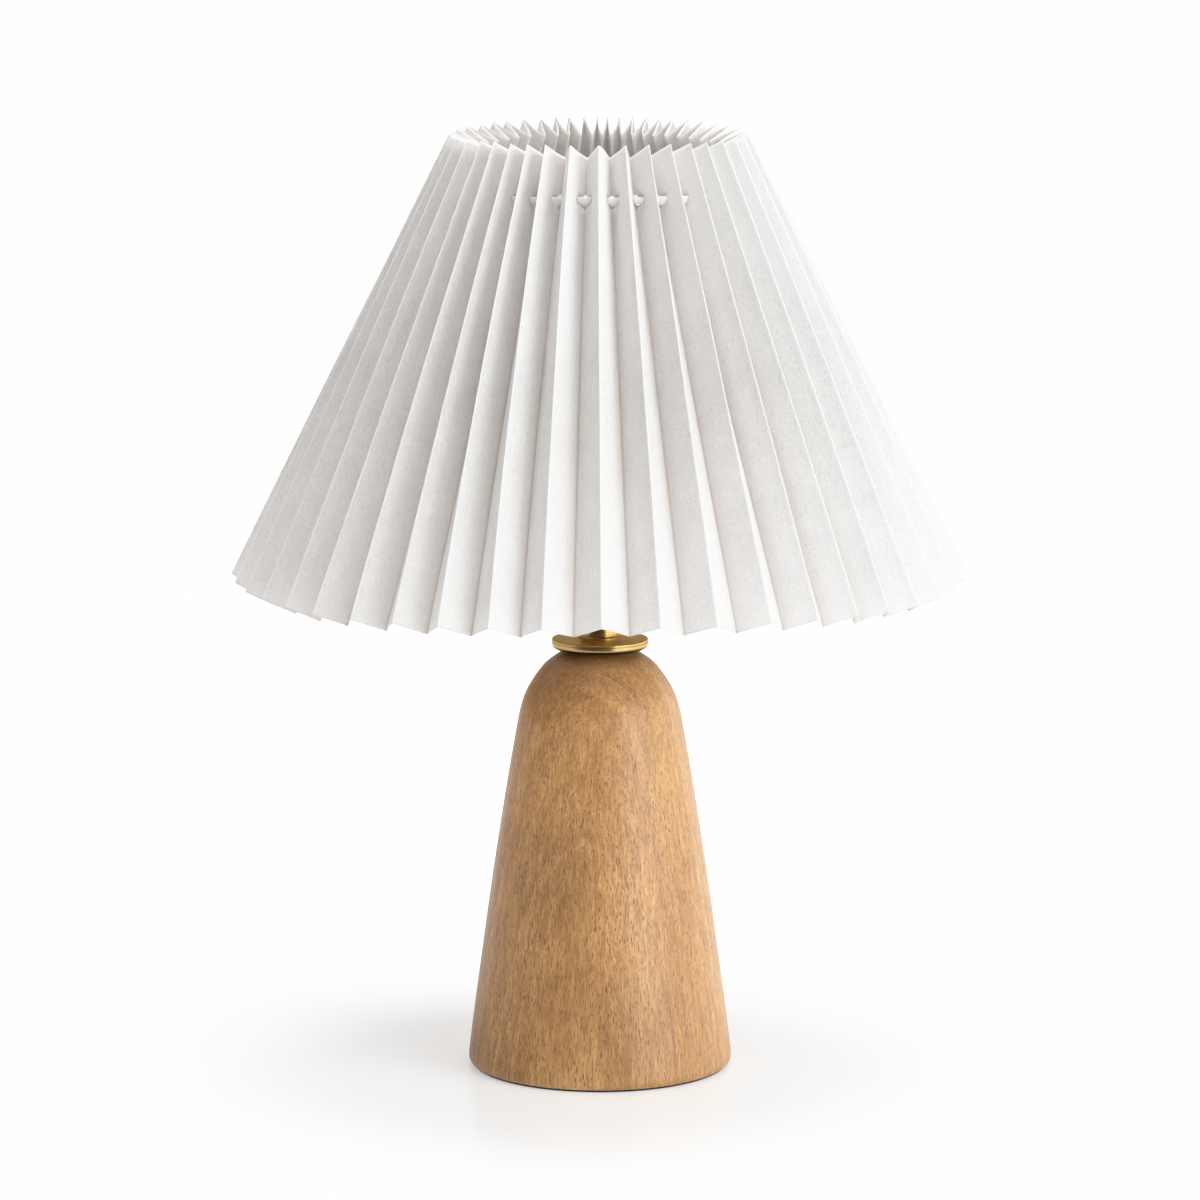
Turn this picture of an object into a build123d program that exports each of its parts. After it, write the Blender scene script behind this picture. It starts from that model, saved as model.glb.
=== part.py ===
from build123d import *
import math
import os

os.makedirs("parts", exist_ok=True)

# Pleated table lamp: a turned wooden base with a brass disc and neck on top, a screw-in
# lamp holder, a bulb, and a deep pleated cone shade hung on a wire carrier.
# Origin: centre of the base's underside, on the surface it stands on. +Z is up, the
# viewed front is -Y, the cable inlet is at the back, +Y. Millimetres throughout.

# ---------------------------------------------------------------- driving dimensions
# pleated shade
PLEATS = 45                    # outward folds round the shade
FRONT = -90.0                  # azimuth of one outward fold, degrees
RIDGE_BOTTOM = (150.0, 205.2)  # radius, height of an outward fold at the lower edge
RIDGE_TOP = (61.1, 383.4)      # the same at the upper edge
PANEL = 14.8                   # width of one flat panel between two folds
PAPER = 0.5                    # laminated paper thickness
# wire carrier of the shade
WIRE = 1.5                     # wire radius
SEAT_Z = 361.5                 # height of the top wire ring, where the die-cut seats are
ARM_TURN_R = 44.0              # where each arm turns upward, clear of the bulb
ARM_BEND = 8.0
# base
PAD_T = 0.8
PAD_R = 52.3
WOOD_TOP = 173.2
RECESS_R = 32.0
RECESS_TOP = 20.0
BORE_R = 5.3                   # hole down the wood for the threaded tube
INLET_Z = 11.0                 # height of the cable inlet
INLET_R = 3.6
# tube, disc and neck
TUBE_R = 5.0                   # M10 hollow threaded tube
TUBE_BORE = 3.7
TUBE_LOW, TUBE_HIGH = 12.0, 216.0
DISC_R = 19.7
DISC_TOP = 177.2
NECK_R = 8.0
NECK_TOP = 205.0
# lamp holder
CAP_R = 20.5
CAP_FLOOR = 216.0
CAP_TOP = 235.0
SHOULDER_R = 23.5
SHOULDER_TOP = 238.0
SKIRT_R = 19.8                 # 40 mm outer thread, drawn at its crest
SKIRT_TOP = 266.0
BLOCK_LOW, BLOCK_TOP = 236.0, 243.0
SWITCH_Z = 221.2               # height of the rotary switch axis
LEAD_R = 0.9                   # insulated inner lead
# bulb
TIP_Z = 245.4
BULB_R = 30.0
BULB_TOP = 350.0


def face_up(*points):
    """Closed straight-sided profile in the open sketch, at its true place."""
    Polygon(*points, align=None)


# ---------------------------------------------------------------- base
with BuildPart() as base_pad:
    with BuildSketch(Plane.XY) as s:
        Circle(PAD_R)
    extrude(amount=PAD_T)
    chamfer(base_pad.edges().filter_by(GeomType.CIRCLE).group_by(Axis.Z)[0], 0.3)
base_pad.part.label = "base_pad"
export_step(base_pad.part, "parts/base_pad.step")

# turned body: slender cone that rounds over into a shallow dome under the disc
WOOD_PROFILE = [
    (54.0, 4.2), (52.1, 20.0), (48.1, 50.0), (43.9, 80.0), (39.3, 110.0), (35.95, 130.0),
    (34.2, 140.0), (32.6, 148.0), (30.7, 154.0), (28.1, 159.0), (25.4, 163.0),
    (22.6, 166.4), (18.6, 169.6), (14.8, 171.8), (11.5, 173.0),
]
with BuildPart() as wood_base:
    with BuildSketch(Plane.XZ) as s:
        with BuildLine():
            side = Spline(*WOOD_PROFILE, tangents=[(-0.10, 1.0), (-1.0, 0.22)])
            Line(side @ 1, (10.5, WOOD_TOP))
            Line((10.5, WOOD_TOP), (0.0, WOOD_TOP))
            Line((0.0, WOOD_TOP), (0.0, PAD_T))
            Line((0.0, PAD_T), (52.6, PAD_T))
            Spline((52.6, PAD_T), (53.6, 1.7), side @ 0, tangents=[(1.0, 0.25), (-0.06, 1.0)])
        make_face()
    revolve(axis=Axis.Z)
    # hole for the threaded tube, and the recess under the base for nut and terminals
    with BuildSketch(Plane.XY.offset(PAD_T)) as s:
        Circle(RECESS_R)
    extrude(amount=RECESS_TOP - PAD_T, mode=Mode.SUBTRACT)
    with BuildSketch(Plane.XY.offset(RECESS_TOP - 1)) as s:
        Circle(BORE_R)
    extrude(amount=WOOD_TOP, mode=Mode.SUBTRACT)
    # cable hole from the recess out of the back, with a flat seat for the bush
    with BuildSketch(Plane.XZ.offset(-20.0)) as s:
        with Locations((0, INLET_Z)):
            Circle(4.7)
    extrude(amount=-40.0, mode=Mode.SUBTRACT)
    with BuildSketch(Plane.XZ.offset(-51.0)) as s:
        with Locations((0, INLET_Z)):
            Circle(7.8)
    extrude(amount=-8.0, mode=Mode.SUBTRACT)
wood_base.part.label = "wood_base"
export_step(wood_base.part, "parts/wood_base.step")

# flanged bush in the cable hole, rounded where the cable leaves
with BuildPart() as cable_grommet:
    with BuildSketch(Plane.XZ.offset(-34.0)) as s:
        with Locations((0, INLET_Z)):
            Circle(4.7)
    extrude(amount=-17.0)
    with BuildSketch(Plane.XZ.offset(-51.0)) as s:
        with Locations((0, INLET_Z)):
            Circle(7.5)
    extrude(amount=-2.4)
    fillet(cable_grommet.edges().filter_by(GeomType.CIRCLE).sort_by(Axis.Y)[-1], 0.9)
    with BuildSketch(Plane.XZ.offset(-33.0)) as s:
        with Locations((0, INLET_Z)):
            Circle(INLET_R)
    extrude(amount=-22.0, mode=Mode.SUBTRACT)
    fillet(cable_grommet.edges().filter_by(GeomType.CIRCLE).sort_by(Axis.Y)[-1], 0.6)
cable_grommet.part.label = "cable_grommet"
export_step(cable_grommet.part, "parts/cable_grommet.step")

# ---------------------------------------------------------------- tube, nut, disc, neck
with BuildPart() as threaded_tube:
    with BuildSketch(Plane.XY.offset(TUBE_LOW)) as s:
        Circle(TUBE_R)
        Circle(TUBE_BORE, mode=Mode.SUBTRACT)
    extrude(amount=TUBE_HIGH - TUBE_LOW)
    chamfer(threaded_tube.edges().filter_by(GeomType.CIRCLE).group_by(Axis.Z)[0], 0.3)
threaded_tube.part.label = "threaded_tube"
export_step(threaded_tube.part, "parts/threaded_tube.step")

with BuildPart() as bottom_washer:
    with BuildSketch(Plane.XY.offset(RECESS_TOP - 1.5)) as s:
        Circle(13.5)
        Circle(5.25, mode=Mode.SUBTRACT)
    extrude(amount=1.5)
bottom_washer.part.label = "bottom_washer"
export_step(bottom_washer.part, "parts/bottom_washer.step")

with BuildPart() as bottom_nut:
    with BuildSketch(Plane.XY.offset(RECESS_TOP - 5.5)) as s:
        RegularPolygon(7.0, 6, major_radius=False)
        Circle(TUBE_R, mode=Mode.SUBTRACT)
    extrude(amount=4.0)
    with BuildSketch(Plane.XZ) as s:
        face_up((9.0, 13.0), (7.1, 14.4), (8.6, 15.3), (9.0, 15.3))
    revolve(axis=Axis.Z, mode=Mode.SUBTRACT)
bottom_nut.part.label = "bottom_nut"
export_step(bottom_nut.part, "parts/bottom_nut.step")

# brass disc: rounded lower rim, a thin lip and groove above it, a faint dome on top
with BuildPart() as cap_disc:
    with BuildSketch(Plane.XZ) as s:
        with BuildLine():
            Line((5.15, WOOD_TOP), (DISC_R - 1.6, WOOD_TOP))
            Spline((DISC_R - 1.6, WOOD_TOP), (DISC_R - 0.45, 173.75), (DISC_R, 175.1), tangents=[(1, 0.05), (0, 1)])
            Line((DISC_R, 175.1), (DISC_R, 175.9))
            Line((DISC_R, 175.9), (DISC_R - 0.28, 176.02))
            Line((DISC_R - 0.28, 176.02), (DISC_R - 0.28, 176.2))
            Line((DISC_R - 0.28, 176.2), (DISC_R - 0.05, 176.32))
            Line((DISC_R - 0.05, 176.32), (DISC_R - 0.05, 176.75))
            Spline((DISC_R - 0.05, 176.75), (DISC_R - 0.3, 177.05), (DISC_R - 0.8, 177.1), tangents=[(0, 1), (-1, 0.03)])
            Line((DISC_R - 0.8, 177.1), (10.0, DISC_TOP + 0.2))
            Line((10.0, DISC_TOP + 0.2), (5.15, DISC_TOP + 0.2))
            Line((5.15, DISC_TOP + 0.2), (5.15, WOOD_TOP))
        make_face()
    revolve(axis=Axis.Z)
cap_disc.part.label = "cap_disc"
export_step(cap_disc.part, "parts/cap_disc.step")

with BuildPart() as neck_tube:
    with BuildSketch(Plane.XZ) as s:
        low = DISC_TOP + 0.2
        face_up(
            (5.15, low), (8.7, low), (8.7, low + 0.7), (8.3, low + 1.1), (NECK_R, low + 1.3),
            (NECK_R, NECK_TOP - 0.5), (NECK_R - 0.5, NECK_TOP), (5.15, NECK_TOP),
        )
    revolve(axis=Axis.Z)
neck_tube.part.label = "neck_tube"
export_step(neck_tube.part, "parts/neck_tube.step")

# ---------------------------------------------------------------- terminals in the base
BLOCK_Y0, BLOCK_Y1, BLOCK_X = 15.0, 28.5, 8.5
BLOCK_Z0 = 8.5
with BuildPart() as terminal_block:
    with BuildSketch(Plane.XY.offset(BLOCK_Z0)) as s:
        with Locations((0, (BLOCK_Y0 + BLOCK_Y1) / 2)):
            RectangleRounded(2 * BLOCK_X, BLOCK_Y1 - BLOCK_Y0, 1.0)
    extrude(amount=RECESS_TOP - BLOCK_Z0)
    # notch between the two poles, holes for the wires, pockets for the clamp screws
    with BuildSketch(Plane.XY.offset(BLOCK_Z0)) as s:
        with Locations((0, BLOCK_Y0), (0, BLOCK_Y1)):
            Rectangle(2.6, 5.0)
    extrude(amount=6.0, mode=Mode.SUBTRACT)
    with BuildSketch(Plane.XZ.offset(-BLOCK_Y0 + 1)) as s:
        with Locations((-4.6, 11.0), (4.6, 11.0)):
            Circle(1.5)
    extrude(amount=-16.0, mode=Mode.SUBTRACT)
    with BuildSketch(Plane.XY.offset(BLOCK_Z0)) as s:
        with Locations((-4.6, 18.6), (4.6, 18.6), (-4.6, 25.0), (4.6, 25.0)):
            Circle(1.8)
    extrude(amount=1.6, mode=Mode.SUBTRACT)
    with BuildSketch(Plane.XY.offset(BLOCK_Z0)) as s:
        with Locations((0, 21.8)):
            Circle(1.7)
    extrude(amount=20.0, mode=Mode.SUBTRACT)
terminal_block.part.label = "terminal_block"
export_step(terminal_block.part, "parts/terminal_block.step")

with BuildPart() as terminal_block_screws:
    with BuildSketch(Plane.XY.offset(BLOCK_Z0 - 0.6)) as s:
        with Locations((-4.6, 18.6), (4.6, 18.6), (-4.6, 25.0), (4.6, 25.0)):
            Circle(1.7)
    extrude(amount=1.6)
    with BuildSketch(Plane.XY.offset(BLOCK_Z0 - 0.6)) as s:
        with Locations((-4.6, 18.6), (4.6, 18.6), (-4.6, 25.0), (4.6, 25.0)):
            Rectangle(0.5, 2.4)
    extrude(amount=0.6, mode=Mode.SUBTRACT)
terminal_block_screws.part.label = "terminal_block_screws"
export_step(terminal_block_screws.part, "parts/terminal_block_screws.step")

with BuildPart() as block_mounting_screw:
    with BuildSketch(Plane.XY.offset(BLOCK_Z0 - 1.4)) as s:
        with Locations((0, 21.8)):
            Circle(2.7)
    extrude(amount=1.4)
    with BuildSketch(Plane.XY.offset(BLOCK_Z0)) as s:
        with Locations((0, 21.8)):
            Circle(1.5)
    extrude(amount=RECESS_TOP - BLOCK_Z0)
    with BuildSketch(Plane.XY.offset(BLOCK_Z0 - 1.4)) as s:
        with Locations((0, 21.8)):
            Rectangle(0.6, 3.6)
            Rectangle(3.6, 0.6)
    extrude(amount=0.8, mode=Mode.SUBTRACT)
block_mounting_screw.part.label = "block_mounting_screw"
export_step(block_mounting_screw.part, "parts/block_mounting_screw.step")


# ---------------------------------------------------------------- inner leads
def lead_radii(points):
    """Bend radius at each corner, as large as the two runs beside it allow."""
    radii = []
    for a, b, c in zip(points, points[1:], points[2:]):
        one, two = Vector(*b) - Vector(*a), Vector(*c) - Vector(*b)
        turn = math.radians(one.get_angle(two))
        radii.append(min(6.0, 0.45 * min(one.length, two.length) / math.tan(turn / 2)))
    return radii


LIVE = [
    (-4.6, 17.5, 11.0), (-4.6, 12.5, 10.6), (-3.2, 6.0, 5.6), (0.0, -1.7, 5.2),
    (0.0, -1.7, 217.5), (3.2, -9.5, 222.4), (11.6, -12.0, 221.6), (11.6, -4.4, 221.2),
]
NEUTRAL = [
    (4.6, 17.5, 11.0), (4.6, 12.5, 10.6), (3.0, 7.0, 5.6), (0.0, 1.7, 5.4),
    (0.0, 1.7, 221.0), (0.0, 10.0, 229.0), (0.0, 10.0, 238.5),
]
LINK = [(11.6, 4.4, 221.2), (11.6, 11.8, 221.8), (8.0, 8.6, 229.6), (8.0, 8.0, 238.5)]

live_radii = lead_radii(LIVE)
with BuildPart() as lead_live:
    with BuildLine() as path:
        FilletPolyline(*LIVE, radius=live_radii)
    with BuildSketch(Plane(origin=path.line @ 0, z_dir=path.line % 0)) as s:
        Circle(LEAD_R)
    sweep(path=path.line)
print("lead_live radii", [round(r, 1) for r in live_radii], "length", round(sum(e.length for e in path.edges()), 1),
      "volume ratio", round(lead_live.part.volume / (math.pi * LEAD_R**2 * sum(e.length for e in path.edges())), 4))
lead_live.part.label = "lead_live"
export_step(lead_live.part, "parts/lead_live.step")

neutral_radii = lead_radii(NEUTRAL)
with BuildPart() as lead_neutral:
    with BuildLine() as path:
        FilletPolyline(*NEUTRAL, radius=neutral_radii)
    with BuildSketch(Plane(origin=path.line @ 0, z_dir=path.line % 0)) as s:
        Circle(LEAD_R)
    sweep(path=path.line)
print("lead_neutral radii", [round(r, 1) for r in neutral_radii], "length", round(sum(e.length for e in path.edges()), 1),
      "volume ratio", round(lead_neutral.part.volume / (math.pi * LEAD_R**2 * sum(e.length for e in path.edges())), 4))
lead_neutral.part.label = "lead_neutral"
export_step(lead_neutral.part, "parts/lead_neutral.step")

link_radii = lead_radii(LINK)
with BuildPart() as switch_link:
    with BuildLine() as path:
        FilletPolyline(*LINK, radius=link_radii)
    with BuildSketch(Plane(origin=path.line @ 0, z_dir=path.line % 0)) as s:
        Circle(LEAD_R)
    sweep(path=path.line)
print("switch_link radii", [round(r, 1) for r in link_radii], "length", round(sum(e.length for e in path.edges()), 1),
      "volume ratio", round(switch_link.part.volume / (math.pi * LEAD_R**2 * sum(e.length for e in path.edges())), 4))
switch_link.part.label = "switch_link"
export_step(switch_link.part, "parts/switch_link.step")

# ---------------------------------------------------------------- lamp holder
with BuildPart() as holder_cap:
    with BuildSketch(Plane.XZ) as s:
        with BuildLine():
            Line((TUBE_R, NECK_TOP), (7.6, NECK_TOP))
            Line((7.6, NECK_TOP), (7.6, 210.0))
            Spline((7.6, 210.0), (13.5, 211.6), (18.8, 214.2), (CAP_R, 218.5), tangents=[(1, 0.05), (0, 1)])
            Line((CAP_R, 218.5), (CAP_R, CAP_TOP))
            Line((CAP_R, CAP_TOP), (18.0, CAP_TOP))
            Line((18.0, CAP_TOP), (18.0, CAP_FLOOR))
            Line((18.0, CAP_FLOOR), (TUBE_R, CAP_FLOOR))
            Line((TUBE_R, CAP_FLOOR), (TUBE_R, NECK_TOP))
        make_face()
    revolve(axis=Axis.Z)
    # grub screw hole in the boss and the switch hole in the side wall
    with BuildSketch(Plane.YZ.offset(-12.0)) as s:
        with Locations((0, 207.4)):
            Circle(1.5)
    extrude(amount=8.0, mode=Mode.SUBTRACT)
    with BuildSketch(Plane.YZ.offset(14.0)) as s:
        with Locations((0, SWITCH_Z)):
            Circle(3.5)
    extrude(amount=10.0, mode=Mode.SUBTRACT)
holder_cap.part.label = "holder_cap"
export_step(holder_cap.part, "parts/holder_cap.step")

with BuildPart() as cap_grub_screw:
    with BuildSketch(Plane.YZ.offset(-8.0)) as s:
        with Locations((0, 207.4)):
            Circle(1.5)
    extrude(amount=2.95)
    with BuildSketch(Plane.YZ.offset(-8.0)) as s:
        with Locations((0, 207.4)):
            Rectangle(0.5, 3.0)
    extrude(amount=0.8, mode=Mode.SUBTRACT)
cap_grub_screw.part.label = "cap_grub_screw"
export_step(cap_grub_screw.part, "parts/cap_grub_screw.step")

# outer shell: spigot inside the cap, shoulder for the shade, threaded skirt
with BuildPart() as holder_skirt:
    with BuildSketch(Plane.XZ) as s:
        face_up(
            (14.0, 230.5), (18.0, 230.5), (18.0, CAP_TOP), (SHOULDER_R, CAP_TOP),
            (SHOULDER_R, SHOULDER_TOP), (SKIRT_R, SHOULDER_TOP), (SKIRT_R, SKIRT_TOP - 0.8),
            (SKIRT_R - 0.8, SKIRT_TOP), (16.4, SKIRT_TOP), (16.4, BLOCK_LOW), (14.0, BLOCK_LOW),
        )
    revolve(axis=Axis.Z)
holder_skirt.part.label = "holder_skirt"
export_step(holder_skirt.part, "parts/holder_skirt.step")

with BuildPart() as contact_block:
    with BuildSketch(Plane.XY.offset(BLOCK_LOW)) as s:
        Circle(16.3)
    extrude(amount=BLOCK_TOP - BLOCK_LOW)
    with BuildSketch(Plane.XY.offset(BLOCK_LOW)) as s:
        with Locations((0, 10.0), (8.0, 8.0)):
            Circle(1.2)
    extrude(amount=4.0, mode=Mode.SUBTRACT)
    with BuildSketch(Plane.XY.offset(BLOCK_LOW)) as s:
        with Locations((0, 5.4), (4.6, 4.2)):
            Circle(1.75)
    extrude(amount=3.0, mode=Mode.SUBTRACT)
contact_block.part.label = "contact_block"
export_step(contact_block.part, "parts/contact_block.step")

with BuildPart() as contact_screws:
    with BuildSketch(Plane.XY.offset(BLOCK_LOW - 0.8)) as s:
        with Locations((0, 5.4), (4.6, 4.2)):
            Circle(1.65)
    extrude(amount=3.4)
    with BuildSketch(Plane.XY.offset(BLOCK_LOW - 0.8)) as s:
        with Locations((0, 5.4), (4.6, 4.2)):
            Rectangle(2.6, 0.5)
    extrude(amount=0.6, mode=Mode.SUBTRACT)
contact_screws.part.label = "contact_screws"
export_step(contact_screws.part, "parts/contact_screws.step")

with BuildPart() as screw_shell:
    with BuildSketch(Plane.XZ) as s:
        face_up(
            (10.0, BLOCK_TOP), (13.9, BLOCK_TOP), (13.9, 262.0), (13.45, 262.0),
            (13.45, BLOCK_TOP + 0.45), (10.0, BLOCK_TOP + 0.45),
        )
    revolve(axis=Axis.Z)
screw_shell.part.label = "screw_shell"
export_step(screw_shell.part, "parts/screw_shell.step")

with BuildPart() as insulating_liner:
    with BuildSketch(Plane.XZ) as s:
        face_up(
            (14.05, BLOCK_TOP), (16.3, BLOCK_TOP), (16.3, SKIRT_TOP - 0.4), (13.6, SKIRT_TOP - 0.4),
            (13.6, 262.3), (14.05, 262.3),
        )
    revolve(axis=Axis.Z)
insulating_liner.part.label = "insulating_liner"
export_step(insulating_liner.part, "parts/insulating_liner.step")

# springy centre contact: foot on the block, tongue raised under the bulb's tip
with BuildPart() as centre_contact:
    with BuildSketch(Plane.XZ) as s:
        face_up(
            (-8.5, 243.0), (-4.0, 243.0), (-1.4, 244.5), (3.0, 244.5), (3.0, 245.0),
            (-1.6, 245.0), (-4.2, 243.5), (-8.5, 243.5),
        )
    extrude(amount=2.2, both=True)
centre_contact.part.label = "centre_contact"
export_step(centre_contact.part, "parts/centre_contact.step")

# rotary switch in the cap: body, bush through the wall with its nut, rotor, stem, knob
with BuildPart() as switch_body:
    with BuildSketch(Plane.XY.offset(CAP_FLOOR)) as s:
        with Locations((11.9, 0)):
            RectangleRounded(10.2, 10.8, 0.8)
    extrude(amount=10.4)
    with BuildSketch(Plane.YZ.offset(8.6)) as s:
        with Locations((0, SWITCH_Z)):
            Circle(4.1)
    extrude(amount=5.4, mode=Mode.SUBTRACT)
    with BuildSketch(Plane.YZ.offset(10.0)) as s:
        with Locations((0, SWITCH_Z)):
            Circle(2.6)
    extrude(amount=8.0, mode=Mode.SUBTRACT)
    # wire holes in both side faces
    with BuildSketch(Plane.XZ.offset(-6.0)) as s:
        with Locations((11.6, SWITCH_Z)):
            Circle(1.15)
    extrude(amount=12.0, mode=Mode.SUBTRACT)
switch_body.part.label = "switch_body"
export_step(switch_body.part, "parts/switch_body.step")

with BuildPart() as switch_bush:
    with BuildSketch(Plane.YZ.offset(17.0)) as s:
        with Locations((0, SWITCH_Z)):
            Circle(3.5)
            Circle(2.6, mode=Mode.SUBTRACT)
    extrude(amount=7.2)
switch_bush.part.label = "switch_bush"
export_step(switch_bush.part, "parts/switch_bush.step")

with BuildPart() as switch_nut:
    with BuildSketch(Plane.YZ.offset(20.6)) as s:
        with Locations((0, SWITCH_Z)):
            RegularPolygon(5.0, 6, major_radius=False)
            Circle(3.5, mode=Mode.SUBTRACT)
    extrude(amount=2.0)
switch_nut.part.label = "switch_nut"
export_step(switch_nut.part, "parts/switch_nut.step")

with BuildPart() as switch_rotor:
    with BuildSketch(Plane.YZ.offset(9.0)) as s:
        with Locations((0, SWITCH_Z)):
            Circle(2.8)
            Rectangle(7.2, 2.2)
    extrude(amount=1.6)
switch_rotor.part.label = "switch_rotor"
export_step(switch_rotor.part, "parts/switch_rotor.step")

with BuildPart() as switch_stem:
    with BuildSketch(Plane.YZ.offset(10.6)) as s:
        with Locations((0, SWITCH_Z)):
            Circle(2.54)
    extrude(amount=22.4)
switch_stem.part.label = "switch_stem"
export_step(switch_stem.part, "parts/switch_stem.step")

with BuildPart() as switch_knob:
    with BuildSketch(Plane.YZ.offset(25.0)) as s:
        with Locations((0, SWITCH_Z)):
            Circle(6.2)
    extrude(amount=11.0)
    fillet(switch_knob.edges().filter_by(GeomType.CIRCLE).sort_by(Axis.X)[-1], 1.2)
    with BuildSketch(Plane.YZ.offset(24.0)) as s:
        with Locations((0, SWITCH_Z)):
            Circle(2.54)
    extrude(amount=9.0, mode=Mode.SUBTRACT)
    # grip flutes
    with BuildSketch(Plane.YZ.offset(24.0)) as s:
        with Locations((0, SWITCH_Z)):
            with PolarLocations(6.55, 16):
                Circle(0.75)
    extrude(amount=10.4, mode=Mode.SUBTRACT)
switch_knob.part.label = "switch_knob"
export_step(switch_knob.part, "parts/switch_knob.step")

# ring nut on the skirt that clamps the shade's carrier down on the shoulder
with BuildPart() as shade_ring:
    with BuildSketch(Plane.XZ) as s:
        face_up(
            (SKIRT_R + 0.08, 240.2), (26.0, 240.2), (26.0, 242.4), (23.4, 242.4),
            (23.4, 247.0), (22.9, 247.5), (SKIRT_R + 0.08, 247.5),
        )
    revolve(axis=Axis.Z)
    with BuildSketch(Plane.XY.offset(242.4)) as s:
        with PolarLocations(23.7, 24):
            Circle(0.8)
    extrude(amount=6.0, mode=Mode.SUBTRACT)
shade_ring.part.label = "shade_ring"
export_step(shade_ring.part, "parts/shade_ring.step")

# ---------------------------------------------------------------- bulb
with BuildPart() as bulb_tip_contact:
    with BuildSketch(Plane.XZ) as s:
        face_up((0, TIP_Z), (2.2, TIP_Z), (4.2, TIP_Z + 0.8), (4.6, TIP_Z + 1.5), (0, TIP_Z + 1.5))
    revolve(axis=Axis.Z)
bulb_tip_contact.part.label = "bulb_tip_contact"
export_step(bulb_tip_contact.part, "parts/bulb_tip_contact.step")

with BuildPart() as bulb_insulator:
    with BuildSketch(Plane.XZ) as s:
        face_up(
            (0, TIP_Z + 1.5), (5.0, TIP_Z + 1.5), (11.0, TIP_Z + 5.0), (12.4, TIP_Z + 5.0),
            (12.4, TIP_Z + 6.5), (0, TIP_Z + 6.5),
        )
    revolve(axis=Axis.Z)
bulb_insulator.part.label = "bulb_insulator"
export_step(bulb_insulator.part, "parts/bulb_insulator.step")

CAP_EDGE = TIP_Z + 23.5
with BuildPart() as bulb_screw_cap:
    with BuildSketch(Plane.XZ) as s:
        low = TIP_Z + 5.0
        face_up(
            (12.4, low), (12.75, low + 0.6), (13.1, low + 1.6), (13.1, CAP_EDGE - 3.0),
            (12.95, CAP_EDGE), (12.55, CAP_EDGE), (12.55, low + 1.5), (12.4, low + 1.5),
        )
    revolve(axis=Axis.Z)
bulb_screw_cap.part.label = "bulb_screw_cap"
export_step(bulb_screw_cap.part, "parts/bulb_screw_cap.step")

GLASS_Z = BULB_TOP - BULB_R    # centre of the round end
GLASS_LOW = CAP_EDGE - 4.0
with BuildPart() as bulb_glass:
    with BuildSketch(Plane.XZ) as s:
        with BuildLine():
            Line((0, GLASS_LOW), (12.5, GLASS_LOW))
            Line((12.5, GLASS_LOW), (12.5, CAP_EDGE - 1.0))
            Spline(
                (12.5, CAP_EDGE - 1.0), (13.4, CAP_EDGE + 6.0), (17.6, CAP_EDGE + 18.0),
                (25.2, CAP_EDGE + 34.0), (BULB_R, GLASS_Z), tangents=[(0.02, 1), (0, 1)],
            )
            RadiusArc((BULB_R, GLASS_Z), (0, BULB_TOP), -BULB_R)
            Line((0, BULB_TOP), (0, GLASS_LOW))
        make_face()
    revolve(axis=Axis.Z)
    with BuildSketch(Plane.XZ) as s:
        with BuildLine():
            wall = 0.9
            Line((0, GLASS_LOW + wall), (12.5 - wall, GLASS_LOW + wall))
            Line((12.5 - wall, GLASS_LOW + wall), (12.5 - wall, CAP_EDGE - 1.0))
            Spline(
                (12.5 - wall, CAP_EDGE - 1.0), (13.4 - wall, CAP_EDGE + 6.0),
                (17.6 - 0.8, CAP_EDGE + 18.35), (25.2 - 0.75, CAP_EDGE + 34.4),
                (BULB_R - wall, GLASS_Z), tangents=[(0.02, 1), (0, 1)],
            )
            RadiusArc((BULB_R - wall, GLASS_Z), (0, BULB_TOP - wall), -(BULB_R - wall))
            Line((0, BULB_TOP - wall), (0, GLASS_LOW + wall))
        make_face()
    revolve(axis=Axis.Z, mode=Mode.SUBTRACT)
bulb_glass.part.label = "bulb_glass"
export_step(bulb_glass.part, "parts/bulb_glass.step")

STEM_LOW = GLASS_LOW + 0.9
with BuildPart() as bulb_stem:
    with BuildSketch(Plane.XZ) as s:
        face_up(
            (0, STEM_LOW), (7.5, STEM_LOW), (4.6, STEM_LOW + 8.0), (2.6, STEM_LOW + 22.0),
            (1.8, STEM_LOW + 24.0), (1.8, 338.0), (0, 338.0),
        )
    revolve(axis=Axis.Z)
bulb_stem.part.label = "bulb_stem"
export_step(bulb_stem.part, "parts/bulb_stem.step")

# four light strips leaning in towards the stem
with BuildPart() as led_filaments:
    for turn in (45, 135, 225, 315):
        c, sn = math.cos(math.radians(turn)), math.sin(math.radians(turn))
        low_end, high_end = Vector(8.6 * c, 8.6 * sn, 297.0), Vector(4.4 * c, 4.4 * sn, 333.0)
        with BuildSketch(Plane(origin=low_end, z_dir=high_end - low_end)) as s:
            Circle(0.8)
        extrude(amount=(high_end - low_end).length)
led_filaments.part.label = "led_filaments"
export_step(led_filaments.part, "parts/led_filaments.step")

# thin wires that carry the strips on the stem: one star below, one above
with BuildPart() as filament_supports:
    for turn in (45, 135, 225, 315):
        c, sn = math.cos(math.radians(turn)), math.sin(math.radians(turn))
        for r0, r1, z in ((2.6, 7.75, 296.1), (1.8, 4.2, 334.2)):
            start = Vector(r0 * c, r0 * sn, z - (0.0 if r0 < 2 else 3.0))
            end = Vector(r1 * c, r1 * sn, z)
            with BuildSketch(Plane(origin=start, z_dir=end - start)) as s:
                Circle(0.3)
            extrude(amount=(end - start).length)
filament_supports.part.label = "filament_supports"
export_step(filament_supports.part, "parts/filament_supports.step")

# ---------------------------------------------------------------- pleated shade
STEP = 360.0 / PLEATS
SLOPE = (RIDGE_BOTTOM[0] - RIDGE_TOP[0]) / (RIDGE_TOP[1] - RIDGE_BOTTOM[1])  # radius lost per height
HALF = math.radians(STEP / 2)


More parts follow.
